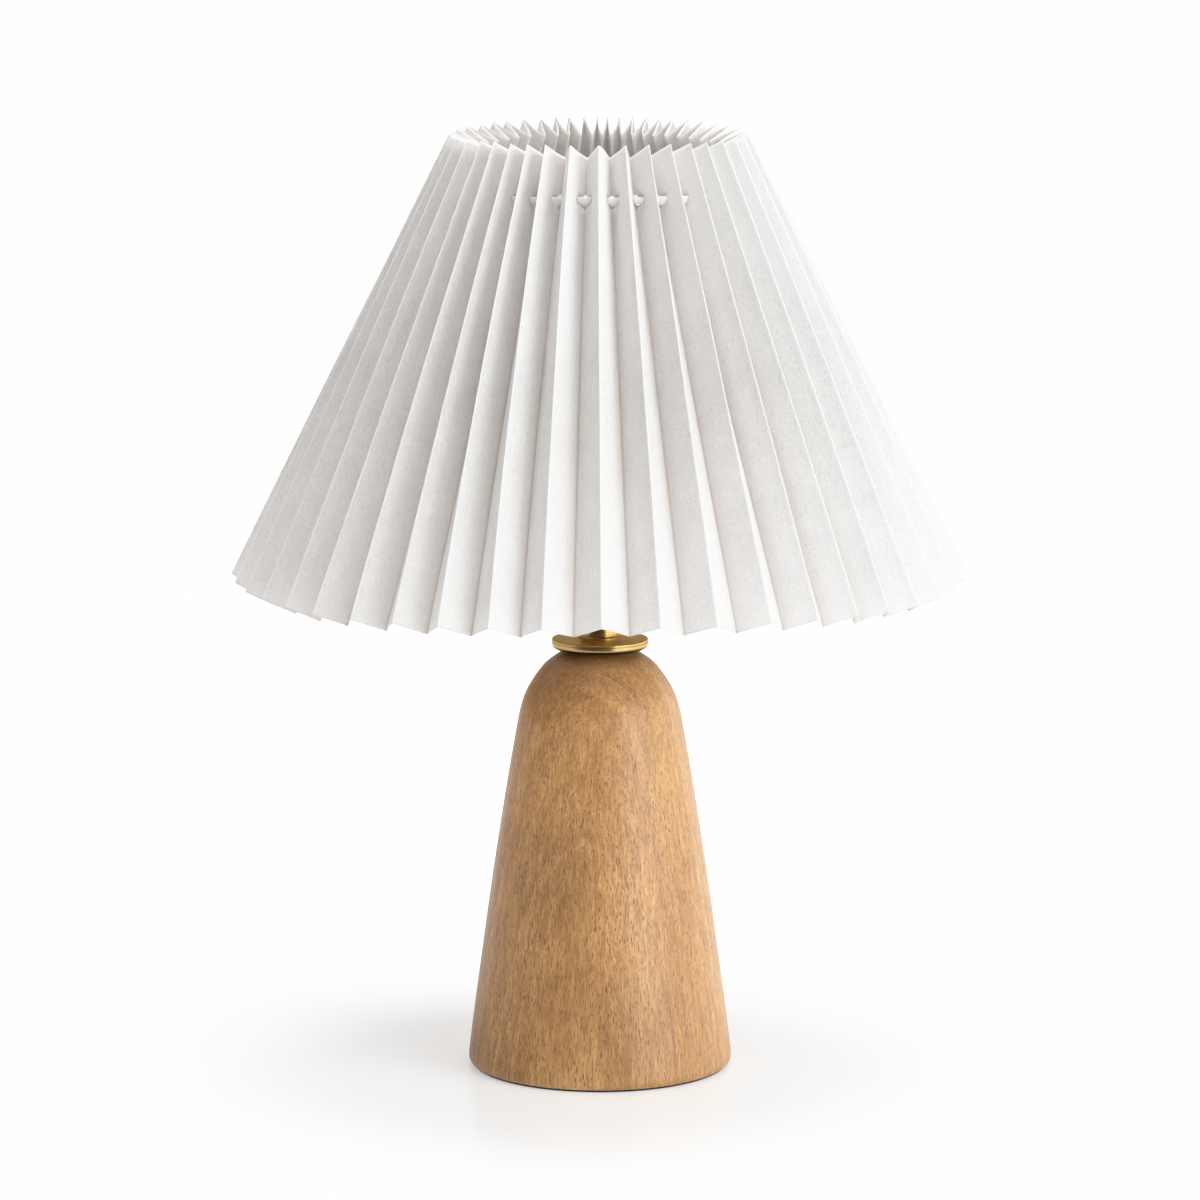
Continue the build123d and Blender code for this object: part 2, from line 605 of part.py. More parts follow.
def valley_end(ridge):
    """Inward fold's end beside an outward fold's end: the panel edge is square to the slant."""
    r, z = ridge
    low, high = 0.0, PANEL
    for _ in range(60):
        d = (low + high) / 2
        v = r - d
        width = math.sqrt((r - v * math.cos(HALF)) ** 2 + (v * math.sin(HALF)) ** 2 + (SLOPE * d) ** 2)
        low, high = (d, high) if width < PANEL else (low, d)
    return r - d, z - SLOPE * d


VALLEY_BOTTOM, VALLEY_TOP = valley_end(RIDGE_BOTTOM), valley_end(RIDGE_TOP)


def on_line(low, high, z):
    return low[0] + (high[0] - low[0]) * (z - low[1]) / (high[1] - low[1])


def star(z, inset):
    """Corner points of the pleated outline at height z, moved inward by the paper's thickness."""
    ridge, valley = on_line(RIDGE_BOTTOM, RIDGE_TOP, z), on_line(VALLEY_BOTTOM, VALLEY_TOP, z)
    lean = math.atan2(valley * math.sin(HALF), ridge - valley * math.cos(HALF))
    ridge -= inset / math.sin(lean)
    valley -= inset / math.sin(lean + HALF)
    points = []
    for k in range(PLEATS):
        a = math.radians(FRONT + k * STEP)
        points.append((ridge * math.cos(a), ridge * math.sin(a)))
        points.append((valley * math.cos(a + HALF), valley * math.sin(a + HALF)))
    return points


SHADE_LOW, SHADE_HIGH = 194.0, 390.0   # the folds run on to here before the edges are trimmed
print("valley ends", [round(v, 2) for v in VALLEY_BOTTOM + VALLEY_TOP])
SEAT_R = on_line(VALLEY_BOTTOM, VALLEY_TOP, SEAT_Z) + 0.3
with BuildPart() as pleated_shade:
    with BuildSketch(Plane.XY.offset(SHADE_LOW)) as s:
        face_up(*star(SHADE_LOW, 0.0))
    with BuildSketch(Plane.XY.offset(SHADE_HIGH)) as s:
        face_up(*star(SHADE_HIGH, 0.0))
    loft(ruled=True)
    with BuildSketch(Plane.XY.offset(SHADE_LOW)) as s:
        face_up(*star(SHADE_LOW, PAPER))
    with BuildSketch(Plane.XY.offset(SHADE_HIGH)) as s:
        face_up(*star(SHADE_HIGH, PAPER))
    loft(ruled=True, mode=Mode.SUBTRACT)
    # both edges are cut square to the slant, so the outward folds stand a little higher
    with BuildSketch(Plane.XZ) as s:
        face_up(
            (100.0, RIDGE_BOTTOM[1] - 50.0 * SLOPE), (160.0, RIDGE_BOTTOM[1] + 10.0 * SLOPE),
            (160.0, 300.0), (80.0, RIDGE_TOP[1] + 18.9 * SLOPE),
            (30.0, RIDGE_TOP[1] - 31.1 * SLOPE), (30.0, 300.0),
        )
    revolve(axis=Axis.Z, mode=Mode.INTERSECT)
    # seats for the top wire ring, open towards the inside
    with BuildSketch(Plane.XZ) as s:
        with Locations((SEAT_R, SEAT_Z)):
            Circle(WIRE + 0.06)
        with Locations((SEAT_R - 3.0, SEAT_Z)):
            Rectangle(6.0, 2 * WIRE + 0.12)
    revolve(axis=Axis.Z, mode=Mode.SUBTRACT)
pleated_shade.part.label = "pleated_shade"
export_step(pleated_shade.part, "parts/pleated_shade.step")
print("shade", pleated_shade.part.volume, len(pleated_shade.faces()))

# ---------------------------------------------------------------- wire carrier
with BuildPart() as carrier_top_ring:
    with BuildSketch(Plane.XZ) as s:
        with Locations((SEAT_R, SEAT_Z)):
            Circle(WIRE)
    revolve(axis=Axis.Z)
carrier_top_ring.part.label = "carrier_top_ring"
export_step(carrier_top_ring.part, "parts/carrier_top_ring.step")

with BuildPart() as fitter_ring:
    with BuildSketch(Plane.XY.offset(SHOULDER_TOP + 0.1)) as s:
        Circle(27.0)
        Circle(SKIRT_R + 0.3, mode=Mode.SUBTRACT)
    extrude(amount=2.0)
fitter_ring.part.label = "fitter_ring"
export_step(fitter_ring.part, "parts/fitter_ring.step")

ARM_Z = SHOULDER_TOP + 1.1
with BuildPart() as carrier_arms:
    for turn in (FRONT, FRONT + 120.0, FRONT + 240.0):
        c, sn = math.cos(math.radians(turn)), math.sin(math.radians(turn))
        with BuildLine(mode=Mode.PRIVATE) as path:
            FilletPolyline(
                (25.0 * c, 25.0 * sn, ARM_Z), (ARM_TURN_R * c, ARM_TURN_R * sn, ARM_Z),
                (SEAT_R * c, SEAT_R * sn, SEAT_Z), radius=ARM_BEND,
            )
        with BuildSketch(Plane(origin=path.line @ 0, z_dir=path.line % 0)) as s:
            Circle(WIRE)
        sweep(path=path.line)
    with BuildSketch(Plane.XY.offset(ARM_Z - 4)) as s:
        Circle(27.0)
    extrude(amount=8, mode=Mode.SUBTRACT)
    with BuildSketch(Plane.XZ) as s:
        with Locations((SEAT_R, SEAT_Z)):
            Circle(WIRE)
    revolve(axis=Axis.Z, mode=Mode.SUBTRACT)
    # what is left of each arm's end beyond the ring
    with BuildSketch(Plane.XY.offset(SEAT_Z - 0.2)) as s:
        Circle(80.0)
    extrude(amount=8, mode=Mode.SUBTRACT)
carrier_arms.part.label = "carrier_arms"
export_step(carrier_arms.part, "parts/carrier_arms.step")
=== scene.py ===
import math
import random

import bmesh
import bpy
import numpy as np
from mathutils import Matrix, Vector


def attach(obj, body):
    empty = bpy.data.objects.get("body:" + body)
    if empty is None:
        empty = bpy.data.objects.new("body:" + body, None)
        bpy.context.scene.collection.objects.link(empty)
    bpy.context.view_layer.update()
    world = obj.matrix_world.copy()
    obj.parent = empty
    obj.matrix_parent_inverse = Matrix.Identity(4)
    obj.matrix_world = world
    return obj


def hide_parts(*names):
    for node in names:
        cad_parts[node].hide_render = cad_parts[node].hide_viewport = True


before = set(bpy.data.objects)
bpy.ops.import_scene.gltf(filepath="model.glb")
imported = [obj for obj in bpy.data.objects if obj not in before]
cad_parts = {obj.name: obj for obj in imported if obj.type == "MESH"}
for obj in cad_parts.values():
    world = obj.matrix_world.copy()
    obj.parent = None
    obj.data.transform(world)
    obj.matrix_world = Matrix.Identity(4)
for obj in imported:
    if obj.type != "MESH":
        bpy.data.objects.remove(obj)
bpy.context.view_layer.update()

scene = bpy.context.scene
MM = 0.001

# ------------------------------------------------------------------ camera
PITCH = 0.1658
cam_data = bpy.data.cameras.new("camera")
cam_data.sensor_fit = "HORIZONTAL"
cam_data.sensor_width = 36.0
cam_data.lens = 5572.7 / 1200.0 * 36.0
cam_data.clip_start, cam_data.clip_end = 0.05, 60.0
cam = bpy.data.objects.new("camera", cam_data)
cam.location = (0.0, -2.2377, 0.5672)
cam.rotation_euler = (math.pi / 2 - PITCH, 0.0, 0.0)
scene.collection.objects.link(cam)
scene.camera = cam

# ------------------------------------------------------------------ light and floor
scene.view_settings.view_transform = "Standard"
scene.view_settings.look = "None"
scene.view_settings.exposure = 0.0
scene.view_settings.gamma = 1.0
# bright tones roll off softly, so that white paper keeps its shading in front of white
WHITE = 3.0
scene.view_settings.use_curve_mapping = True
tone = scene.view_settings.curve_mapping
tone.white_level = (WHITE, WHITE, WHITE)
curve = tone.curves[3]
curve.points[0].location = (0.0, 0.0)
curve.points[1].location = (1.0, 0.993)
for x, y in ((0.40, 0.40), (0.76, 0.76), (0.90, 0.872), (1.0, 0.932), (1.1, 0.968), (1.25, 0.988), (1.6, 0.992)):
    point = curve.points.new(x / WHITE, y)
    if x < 0.8:
        point.handle_type = "VECTOR"
curve.points[0].handle_type = "VECTOR"
tone.update()

world = bpy.data.worlds.new("studio")
scene.world = world
world.use_nodes = True
wn, wl = world.node_tree.nodes, world.node_tree.links
wn.clear()
w_out = wn.new("ShaderNodeOutputWorld")
w_light = wn.new("ShaderNodeBackground")
w_back = wn.new("ShaderNodeBackground")
w_mix = wn.new("ShaderNodeMixShader")
w_path = wn.new("ShaderNodeLightPath")
w_light.inputs["Color"].default_value = (1.0, 0.985, 0.955, 1.0)
# in reflections the camera's side of the room is dim, the left side half dim and the right
# side bright: turned metal shows this as dark and light bands, polished wood as a soft sheen
w_coord = wn.new("ShaderNodeTexCoord")


def w_lobe(direction, outer, inner, low, high):
    dot = wn.new("ShaderNodeVectorMath")
    dot.operation = "DOT_PRODUCT"
    dot.inputs[1].default_value = Vector(direction).normalized()
    level = wn.new("ShaderNodeMapRange")
    level.interpolation_type = "SMOOTHSTEP"
    level.inputs["From Min"].default_value = math.cos(math.radians(outer))
    level.inputs["From Max"].default_value = math.cos(math.radians(inner))
    level.inputs["To Min"].default_value = low
    level.inputs["To Max"].default_value = high
    wl.new(w_coord.outputs["Generated"], dot.inputs[0])
    wl.new(dot.outputs["Value"], level.inputs["Value"])
    return level


def w_math(op, a, b):
    node = wn.new("ShaderNodeMath")
    node.operation = op
    for i, v in enumerate((a, b)):
        if isinstance(v, (int, float)):
            node.inputs[i].default_value = v
        else:
            wl.new(v, node.inputs[i])
    return node.outputs[0]


front_dim = w_lobe((-0.08, -0.97, 0.30), 62, 34, 1.0, 0.12)
left_dim = w_lobe((-1.0, 0.0, 0.1), 100, 45, 1.0, 0.22)
right_lit = w_lobe((0.93, -0.10, 0.25), 80, 36, 1.0, 5.0)
mirrored = w_math("MULTIPLY", w_math("MULTIPLY", front_dim.outputs[0], left_dim.outputs[0]), 0.66)
mirrored = w_math("MULTIPLY", mirrored, right_lit.outputs[0])
w_pick = wn.new("ShaderNodeMix")
w_pick.data_type = "FLOAT"
w_pick.inputs[2].default_value = 0.464
wl.new(w_path.outputs["Is Glossy Ray"], w_pick.inputs[0])
wl.new(mirrored, w_pick.inputs[3])
wl.new(w_pick.outputs[0], w_light.inputs["Strength"])
w_back.inputs["Color"].default_value = (1.0, 1.0, 1.0, 1.0)
w_back.inputs["Strength"].default_value = 3.0
wl.new(w_path.outputs["Is Camera Ray"], w_mix.inputs["Fac"])
wl.new(w_light.outputs[0], w_mix.inputs[1])
wl.new(w_back.outputs[0], w_mix.inputs[2])
wl.new(w_mix.outputs[0], w_out.inputs["Surface"])


def area_light(name, place, aim, size, power, colour=(1.0, 1.0, 1.0), size_y=None):
    data = bpy.data.lights.new(name, "AREA")
    data.shape = "RECTANGLE" if size_y else "SQUARE"
    data.size = size
    if size_y:
        data.size_y = size_y
    data.energy = power
    data.color = colour
    ob = bpy.data.objects.new(name, data)
    ob.location = place
    ob.rotation_euler = (Vector(aim) - Vector(place)).to_track_quat("-Z", "Y").to_euler()
    scene.collection.objects.link(ob)
    return ob


area_light("key_right", (2.20, -1.79, 1.14), (0.0, 0.0, 0.20), 2.3, 70.0, (0.868, 0.948, 1.0))
area_light("strip_right", (1.75, -1.95, 0.38), (0.0, 0.0, 0.19), 0.24, 6.0, (1.0, 0.995, 0.985), 1.2)
area_light("overhead", (0.06, 0.08, 1.35), (0.0, 0.0, 0.2), 0.8, 17.0, (1.0, 0.985, 0.97))


def new_material(name):
    mat = bpy.data.materials.new(name)
    mat.use_nodes = True
    tree = mat.node_tree
    bsdf = next(n for n in tree.nodes if n.type == "BSDF_PRINCIPLED")
    return mat, tree, bsdf


def add(tree, kind, **values):
    node = tree.nodes.new(kind)
    for key, value in values.items():
        if hasattr(node, key):
            setattr(node, key, value)
        else:
            node.inputs[key.replace("_", " ")].default_value = value
    return node


def ramp(tree, stops, interpolation="LINEAR"):
    node = tree.nodes.new("ShaderNodeValToRGB")
    node.color_ramp.interpolation = interpolation
    el = node.color_ramp.elements
    el[0].position, el[1].position = stops[0][0], stops[-1][0]
    for i, (pos, col) in enumerate(stops):
        e = el[i] if i == 0 else (el[len(el) - 1] if i == len(stops) - 1 else el.new(pos))
        e.position = pos
        e.color = col if len(col) == 4 else (*col, 1.0)
    return node


def grey(v):
    return (v, v, v, 1.0)


def coords(tree, scale=(1, 1, 1), location=(0, 0, 0), rotation=(0, 0, 0), output="Object"):
    tc = tree.nodes.new("ShaderNodeTexCoord")
    mp = tree.nodes.new("ShaderNodeMapping")
    mp.inputs["Scale"].default_value = scale
    mp.inputs["Location"].default_value = location
    mp.inputs["Rotation"].default_value = rotation
    tree.links.new(tc.outputs[output], mp.inputs["Vector"])
    return mp


def noise(tree, vector, scale, detail=2.0, roughness=0.5, distortion=0.0):
    n = tree.nodes.new("ShaderNodeTexNoise")
    n.inputs["Scale"].default_value = scale
    n.inputs["Detail"].default_value = detail
    n.inputs["Roughness"].default_value = roughness
    n.inputs["Distortion"].default_value = distortion
    tree.links.new(vector.outputs[0], n.inputs["Vector"])
    return n


def math_node(tree, op, a, b=None, clamp=False):
    n = tree.nodes.new("ShaderNodeMath")
    n.operation = op
    n.use_clamp = clamp
    for i, v in enumerate((a, b)):
        if v is None:
            continue
        if isinstance(v, (int, float)):
            n.inputs[i].default_value = v
        else:
            tree.links.new(v, n.inputs[i])
    return n


def mix_colour(tree, fac, a, b, blend="MIX"):
    n = tree.nodes.new("ShaderNodeMix")
    n.data_type = "RGBA"
    n.blend_type = blend
    for socket, v in ((n.inputs["Factor"], fac), (n.inputs[6], a), (n.inputs[7], b)):
        if isinstance(v, (int, float)):
            socket.default_value = v
        elif isinstance(v, tuple):
            socket.default_value = v if len(v) == 4 else (*v, 1.0)
        else:
            tree.links.new(v, socket)
    return n.outputs[2]


def bump(tree, bsdf, height, strength, distance, after=None):
    b = tree.nodes.new("ShaderNodeBump")
    b.inputs["Strength"].default_value = strength
    b.inputs["Distance"].default_value = distance
    tree.links.new(height, b.inputs["Height"])
    if after is not None:
        tree.links.new(after.outputs[0], b.inputs["Normal"])
    tree.links.new(b.outputs[0], bsdf.inputs["Normal"])
    return b


# ------------------------------------------------------------------ materials
def floor_material():
    mat, tree, bsdf = new_material("floor_white")
    vec = coords(tree)
    n = noise(tree, vec, 3.0, 2.0)
    col = ramp(tree, [(0.3, (0.775, 0.778, 0.785)), (0.7, (0.79, 0.793, 0.80))])
    tree.links.new(n.outputs["Fac"], col.inputs["Fac"])
    tree.links.new(col.outputs["Color"], bsdf.inputs["Base Color"])
    bsdf.inputs["Roughness"].default_value = 0.20
    bsdf.inputs["Specular IOR Level"].default_value = 0.20
    bsdf.inputs["Emission Strength"].default_value = 1.0
    # the sweep is lit up to plain white a little way from the lamp
    sep = tree.nodes.new("ShaderNodeSeparateXYZ")
    tree.links.new(vec.outputs[0], sep.inputs[0])
    xx = math_node(tree, "MULTIPLY", sep.outputs["X"], sep.outputs["X"])
    yy = math_node(tree, "MULTIPLY", sep.outputs["Y"], sep.outputs["Y"])
    rr = math_node(tree, "SQRT", math_node(tree, "ADD", xx.outputs[0], yy.outputs[0]).outputs[0])
    glow = ramp(tree, [(0.0, grey(0.36)), (0.12, grey(0.36)), (0.30, grey(0.48)), (0.55, grey(0.78))], "EASE")
    tree.links.new(rr.outputs[0], glow.inputs["Fac"])
    # painted reflection: for glossy rays only, the floor's front part is painted near black, so the metal shows a dark
    # band there
    path = tree.nodes.new("ShaderNodeLightPath")
    away = tree.nodes.new("ShaderNodeMapRange")
    away.interpolation_type = "SMOOTHSTEP"
    away.inputs["From Min"].default_value, away.inputs["From Max"].default_value = -0.32, -0.62
    tree.links.new(sep.outputs["Y"], away.inputs["Value"])
    dim = math_node(tree, "MULTIPLY", path.outputs["Is Glossy Ray"], away.outputs[0])
    shown = mix_colour(tree, dim.outputs[0], glow.outputs["Color"], grey(0.03))
    tree.links.new(shown, bsdf.inputs["Emission Color"])
    # painted reflection: the base colour also goes dark there for glossy rays
    body = mix_colour(tree, dim.outputs[0], col.outputs["Color"], grey(0.05))
    tree.links.new(body, bsdf.inputs["Base Color"])
    return mat


def wood_material():
    mat, tree, bsdf = new_material("turned_wood")
    L = tree.links.new
    # flat-sawn growth layers, nearly upright and square to the front: they arch over the
    # dome, make broad arches on the front and back, and straight lines on the sides
    vec = coords(tree)
    sep = tree.nodes.new("ShaderNodeSeparateXYZ")
    L(vec.outputs[0], sep.inputs[0])
    slant = math_node(tree, "MULTIPLY", sep.outputs["X"], 0.22)
    depth = math_node(tree, "MULTIPLY", math_node(tree, "ADD", sep.outputs["Y"], slant.outputs[0]).outputs[0], -1.0)
    wob = noise(tree, coords(tree, scale=(1, 1, 0.45)), 24.0, 3.0, 0.5)
    calm = tree.nodes.new("ShaderNodeMapRange")
    calm.inputs["From Min"].default_value, calm.inputs["From Max"].default_value = 0.022, 0.031
    calm.inputs["To Min"].default_value, calm.inputs["To Max"].default_value = 0.0006, 0.0085
    L(depth.outputs[0], calm.inputs["Value"])
    shift = math_node(tree, "MULTIPLY", math_node(tree, "SUBTRACT", wob.outputs["Fac"], 0.5).outputs[0], calm.outputs[0])
    ring_r = math_node(tree, "ADD", depth.outputs[0], shift.outputs[0])
    # two small burls push the layers out
    for centre, reach, lift in (((-0.0121, -0.0303, 0.1475), 0.017, 0.0030), ((-0.0064, -0.0417, 0.0911), 0.010, 0.0032)):
        away = tree.nodes.new("ShaderNodeVectorMath")
        away.operation = "DISTANCE"
        L(vec.outputs[0], away.inputs[0])
        away.inputs[1].default_value = centre
        near = tree.nodes.new("ShaderNodeMapRange")
        near.interpolation_type = "SMOOTHSTEP"
        near.inputs["From Min"].default_value, near.inputs["From Max"].default_value = reach, 0.0
        near.inputs["To Max"].default_value = lift
        L(away.outputs["Value"], near.inputs["Value"])
        ring_r = math_node(tree, "ADD", ring_r.outputs[0], near.outputs[0])
    comb = tree.nodes.new("ShaderNodeCombineXYZ")
    L(ring_r.outputs[0], comb.inputs[0])
    years = noise(tree, comb, 210.0, 4.0, 0.60)
    year_col = ramp(tree, [(0.30, (0.350, 0.162, 0.047)), (0.44, (0.426, 0.214, 0.069)),
                           (0.56, (0.468, 0.245, 0.083)), (0.70, (0.532, 0.289, 0.108))])
    L(years.outputs["Fac"], year_col.inputs["Fac"])
    # darker late wood lines
    place = math_node(tree, "MULTIPLY", math_node(tree, "SUBTRACT", ring_r.outputs[0], 0.010).outputs[0], 1 / 0.05)
    stops = [(0.0, grey(0))]
    for r, w, k in ((14.5, 0.5, 0.5), (26.8, 0.55, 0.5), (29.9, 0.35, 0.6), (33.0, 0.6, 0.5), (36.6, 0.4, 0.6),
                    (40.4, 0.7, 0.55), (44.6, 0.45, 0.6), (49.0, 0.6, 0.5)):
        c = (r - 10.0) / 50.0
        stops += [(c - 1.6 * w / 50.0, grey(0)), (c, grey(k)), (c + 0.7 * w / 50.0, grey(0))]
    stops.append((1.0, grey(0)))
    line_mask = ramp(tree, stops)
    L(place.outputs[0], line_mask.inputs["Fac"])
    patch = noise(tree, coords(tree, location=(0.02, 0.0, 0.013)), 30.0, 2.0)
    patch_mask = ramp(tree, [(0.38, grey(0.25)), (0.55, grey(1))])
    L(patch.outputs["Fac"], patch_mask.inputs["Fac"])
    line_fac = math_node(tree, "MULTIPLY", line_mask.outputs["Color"], patch_mask.outputs["Color"])
    line_fac = math_node(tree, "MULTIPLY", line_fac.outputs[0], 0.62)
    c1 = mix_colour(tree, line_fac.outputs[0], year_col.outputs["Color"], (0.26, 0.112, 0.036))
    # the clearest one is a double line over the right of the dome
    pair_place = math_node(tree, "MULTIPLY", math_node(tree, "SUBTRACT", ring_r.outputs[0], 0.0205).outputs[0], 1 / 0.003)
    pair = ramp(tree, [(0.26, grey(0)), (0.39, grey(1)), (0.49, grey(0)), (0.55, grey(0)), (0.67, grey(0.9)), (0.78, grey(0))])
    pair_light = ramp(tree, [(0.16, grey(0)), (0.28, grey(0.6)), (0.34, grey(0)), (0.47, grey(0)), (0.53, grey(1)), (0.59, grey(0)),
                             (0.76, grey(0)), (0.84, grey(0.7)), (0.95, grey(0))])
    L(pair_place.outputs[0], pair.inputs["Fac"])
    L(pair_place.outputs[0], pair_light.inputs["Fac"])
    along = ramp(tree, [(0.30, grey(0.15)), (0.46, grey(0.8)), (0.55, grey(1)), (0.66, grey(1)), (0.72, grey(0.1))])
    L(math_node(tree, "ADD", math_node(tree, "MULTIPLY", sep.outputs["X"], 10.0).outputs[0], 0.5).outputs[0], along.inputs["Fac"])
    front = ramp(tree, [(0.05, grey(0)), (0.10, grey(1))])
    L(math_node(tree, "MULTIPLY", sep.outputs["Y"], -10.0).outputs[0], front.inputs["Fac"])
    along = math_node(tree, "MULTIPLY", along.outputs["Color"], front.outputs["Color"])
    dark_pair = math_node(tree, "MULTIPLY", math_node(tree, "MULTIPLY", pair.outputs["Color"], along.outputs[0]).outputs[0], 0.80)
    light_pair = math_node(tree, "MULTIPLY", math_node(tree, "MULTIPLY", pair_light.outputs["Color"], along.outputs[0]).outputs[0], 0.30)
    c1 = mix_colour(tree, dark_pair.outputs[0], c1, (0.235, 0.095, 0.028))
    c1 = mix_colour(tree, light_pair.outputs[0], c1, (0.72, 0.46, 0.235))
    # curly figure on the dome, where the grain runs out
    curl = noise(tree, coords(tree, scale=(1, 1, 0.8), location=(0.4, 0.1, 0.2)), 420.0, 1.5, 0.5, 0.8)
    curl_col = ramp(tree, [(0.435, (1, 1, 1)), (0.465, (0.80, 0.75, 0.70)), (0.49, (1, 1, 1)), (0.515, (1.12, 1.14, 1.16)),
                           (0.54, (1, 1, 1)), (0.56, (1, 1, 1)), (0.585, (0.82, 0.78, 0.73)), (0.61, (1.08, 1.09, 1.10)), (0.64, (1, 1, 1))])
    L(curl.outputs["Fac"], curl_col.inputs["Fac"])
    dome_up = tree.nodes.new("ShaderNodeMapRange")
    dome_up.inputs["From Min"].default_value, dome_up.inputs["From Max"].default_value = 0.122, 0.142
    dome_up.inputs["To Max"].default_value = 0.62
    L(sep.outputs["Z"], dome_up.inputs["Value"])
    c1 = mix_colour(tree, dome_up.outputs[0], c1, mix_colour(tree, 1.0, c1, curl_col.outputs["Color"], "MULTIPLY"))
    # soft blotches
    blotch = noise(tree, coords(tree, scale=(1, 1, 0.32), location=(0.31, 0.12, 0.05)), 42.0, 3.0, 0.55, 0.5)
    blotch_col = ramp(tree, [(0.30, (0.78, 0.73, 0.67)), (0.52, (1.0, 1.0, 1.0)), (0.72, (1.07, 1.09, 1.11))])
    L(blotch.outputs["Fac"], blotch_col.inputs["Fac"])
    c2 = mix_colour(tree, 0.80, c1, blotch_col.outputs["Color"], "MULTIPLY")
    # painted shade: the dome's left shoulder is darkened where the lampshade keeps light off it; the wood there is also
    # a little darker brown
    shoulder = tree.nodes.new("ShaderNodeVectorMath")
    shoulder.operation = "DISTANCE"
    L(vec.outputs[0], shoulder.inputs[0])
    shoulder.inputs[1].default_value = (-0.019, -0.014, 0.167)
    shoulder_shade = ramp(tree, [(0.10, grey(0.85)), (1.0, grey(0))], "EASE")
    L(math_node(tree, "MULTIPLY", shoulder.outputs["Value"], 1 / 0.030).outputs[0], shoulder_shade.inputs["Fac"])
    c2 = mix_colour(tree, shoulder_shade.outputs["Color"], c2, mix_colour(tree, 1.0, c2, (0.66, 0.60, 0.56), "MULTIPLY"))
    stain = tree.nodes.new("ShaderNodeVectorMath")
    stain.operation = "DISTANCE"
    L(coords(tree, scale=(1, 1, 0.55)).outputs[0], stain.inputs[0])
    stain.inputs[1].default_value = (-0.0155, -0.0405, 0.0870 * 0.55)
    stain_near = ramp(tree, [(0.10, grey(0.62)), (1.0, grey(0))], "EASE")
    L(math_node(tree, "MULTIPLY", stain.outputs["Value"], 1 / 0.020).outputs[0], stain_near.inputs["Fac"])
    c2 = mix_colour(tree, stain_near.outputs["Color"], c2, mix_colour(tree, 1.0, c2, (0.66, 0.62, 0.62), "MULTIPLY"))
    # fine straight grain, long in Z
    grain = noise(tree, coords(tree, scale=(1, 1, 0.045)), 1350.0, 3.0, 0.65)
    grain_col = ramp(tree, [(0.30, (0.74, 0.68, 0.60)), (0.5, (1, 1, 1)), (0.72, (1.21, 1.26, 1.32))])
    L(grain.outputs["Fac"], grain_col.inputs["Fac"])
    c3 = mix_colour(tree, 1.0, c2, grain_col.outputs["Color"], "MULTIPLY")
    streak = noise(tree, coords(tree, scale=(1, 1, 0.035), location=(0.6, 0.3, 0.1)), 560.0, 2.0, 0.55)
    streak_col = ramp(tree, [(0.32, (0.86, 0.825, 0.78)), (0.5, (1.04, 1.04, 1.04)), (0.68, (1.21, 1.24, 1.28))])
    L(streak.outputs["Fac"], streak_col.inputs["Fac"])
    c3 = mix_colour(tree, 1.0, c3, streak_col.outputs["Color"], "MULTIPLY")
    # pores: short dark flecks, in patches
    pore_vec = coords(tree, scale=(1, 1, 0.0185), location=(0.013, 0.2, 0.0), rotation=(0.015, -0.03, 0.0))
    pores = noise(tree, pore_vec, 2800.0, 0.5, 0.35, 0.03)
    zone = noise(tree, coords(tree, scale=(1, 1, 0.5)), 75.0, 2.0)
    zone_level = tree.nodes.new("ShaderNodeMapRange")
    zone_level.inputs["From Min"].default_value, zone_level.inputs["From Max"].default_value = 0.35, 0.65
    zone_level.inputs["To Min"].default_value, zone_level.inputs["To Max"].default_value = -0.036, 0.014
    L(zone.outputs["Fac"], zone_level.inputs["Value"])
    few = tree.nodes.new("ShaderNodeMapRange")
    few.inputs["From Min"].default_value, few.inputs["From Max"].default_value = 0.105, 0.150
    few.inputs["To Min"].default_value, few.inputs["To Max"].default_value = 0.0, -0.030
    L(sep.outputs["Z"], few.inputs["Value"])
    pore_level = math_node(tree, "ADD", pores.outputs["Fac"], zone_level.outputs[0])
    pore_level = math_node(tree, "ADD", pore_level.outputs[0], few.outputs[0])
    pore_mask = ramp(tree, [(0.598, grey(0)), (0.636, grey(1))])
    pore_edge = ramp(tree, [(0.540, grey(0)), (0.582, grey(1)), (0.600, grey(0))])
    L(pore_level.outputs[0], pore_edge.inputs["Fac"])
    L(pore_level.outputs[0], pore_mask.inputs["Fac"])
    # painted highlight: a lighter rim beside each pore, for light catching its raised edge
    pore_lip_highlight = math_node(tree, "MULTIPLY", pore_edge.outputs["Color"], 0.26)
    c3 = mix_colour(tree, pore_lip_highlight.outputs[0], c3, (0.72, 0.47, 0.235))
    pore_fac = math_node(tree, "MULTIPLY", pore_mask.outputs["Color"], 0.80)
    c4 = mix_colour(tree, pore_fac.outputs[0], c3, (0.185, 0.068, 0.020))
    # painted shadow: the wood's top end beneath the brass disc is darkened where the disc shades it
    disc_shadow = ramp(tree, [(0.1712, grey(0)), (0.1727, grey(1))])
    L(sep.outputs["Z"], disc_shadow.inputs["Fac"])
    c4 = mix_colour(tree, math_node(tree, "MULTIPLY", disc_shadow.outputs["Color"], 0.7).outputs[0], c4, (0.10, 0.045, 0.018))
    L(c4, bsdf.inputs["Base Color"])
    rough = tree.nodes.new("ShaderNodeMapRange")
    rough.inputs["To Min"].default_value = 0.36
    rough.inputs["To Max"].default_value = 0.52
    L(grain.outputs["Fac"], rough.inputs["Value"])
    L(rough.outputs[0], bsdf.inputs["Roughness"])
    bsdf.inputs["Specular IOR Level"].default_value = 0.56
    low = math_node(tree, "MULTIPLY", pore_mask.outputs["Color"], -1.0)
    fine = math_node(tree, "MULTIPLY", grain.outputs["Fac"], 0.45)
    h = math_node(tree, "ADD", low.outputs[0], fine.outputs[0])
    bump(tree, bsdf, h.outputs[0], 0.50, 0.00014)
    return mat


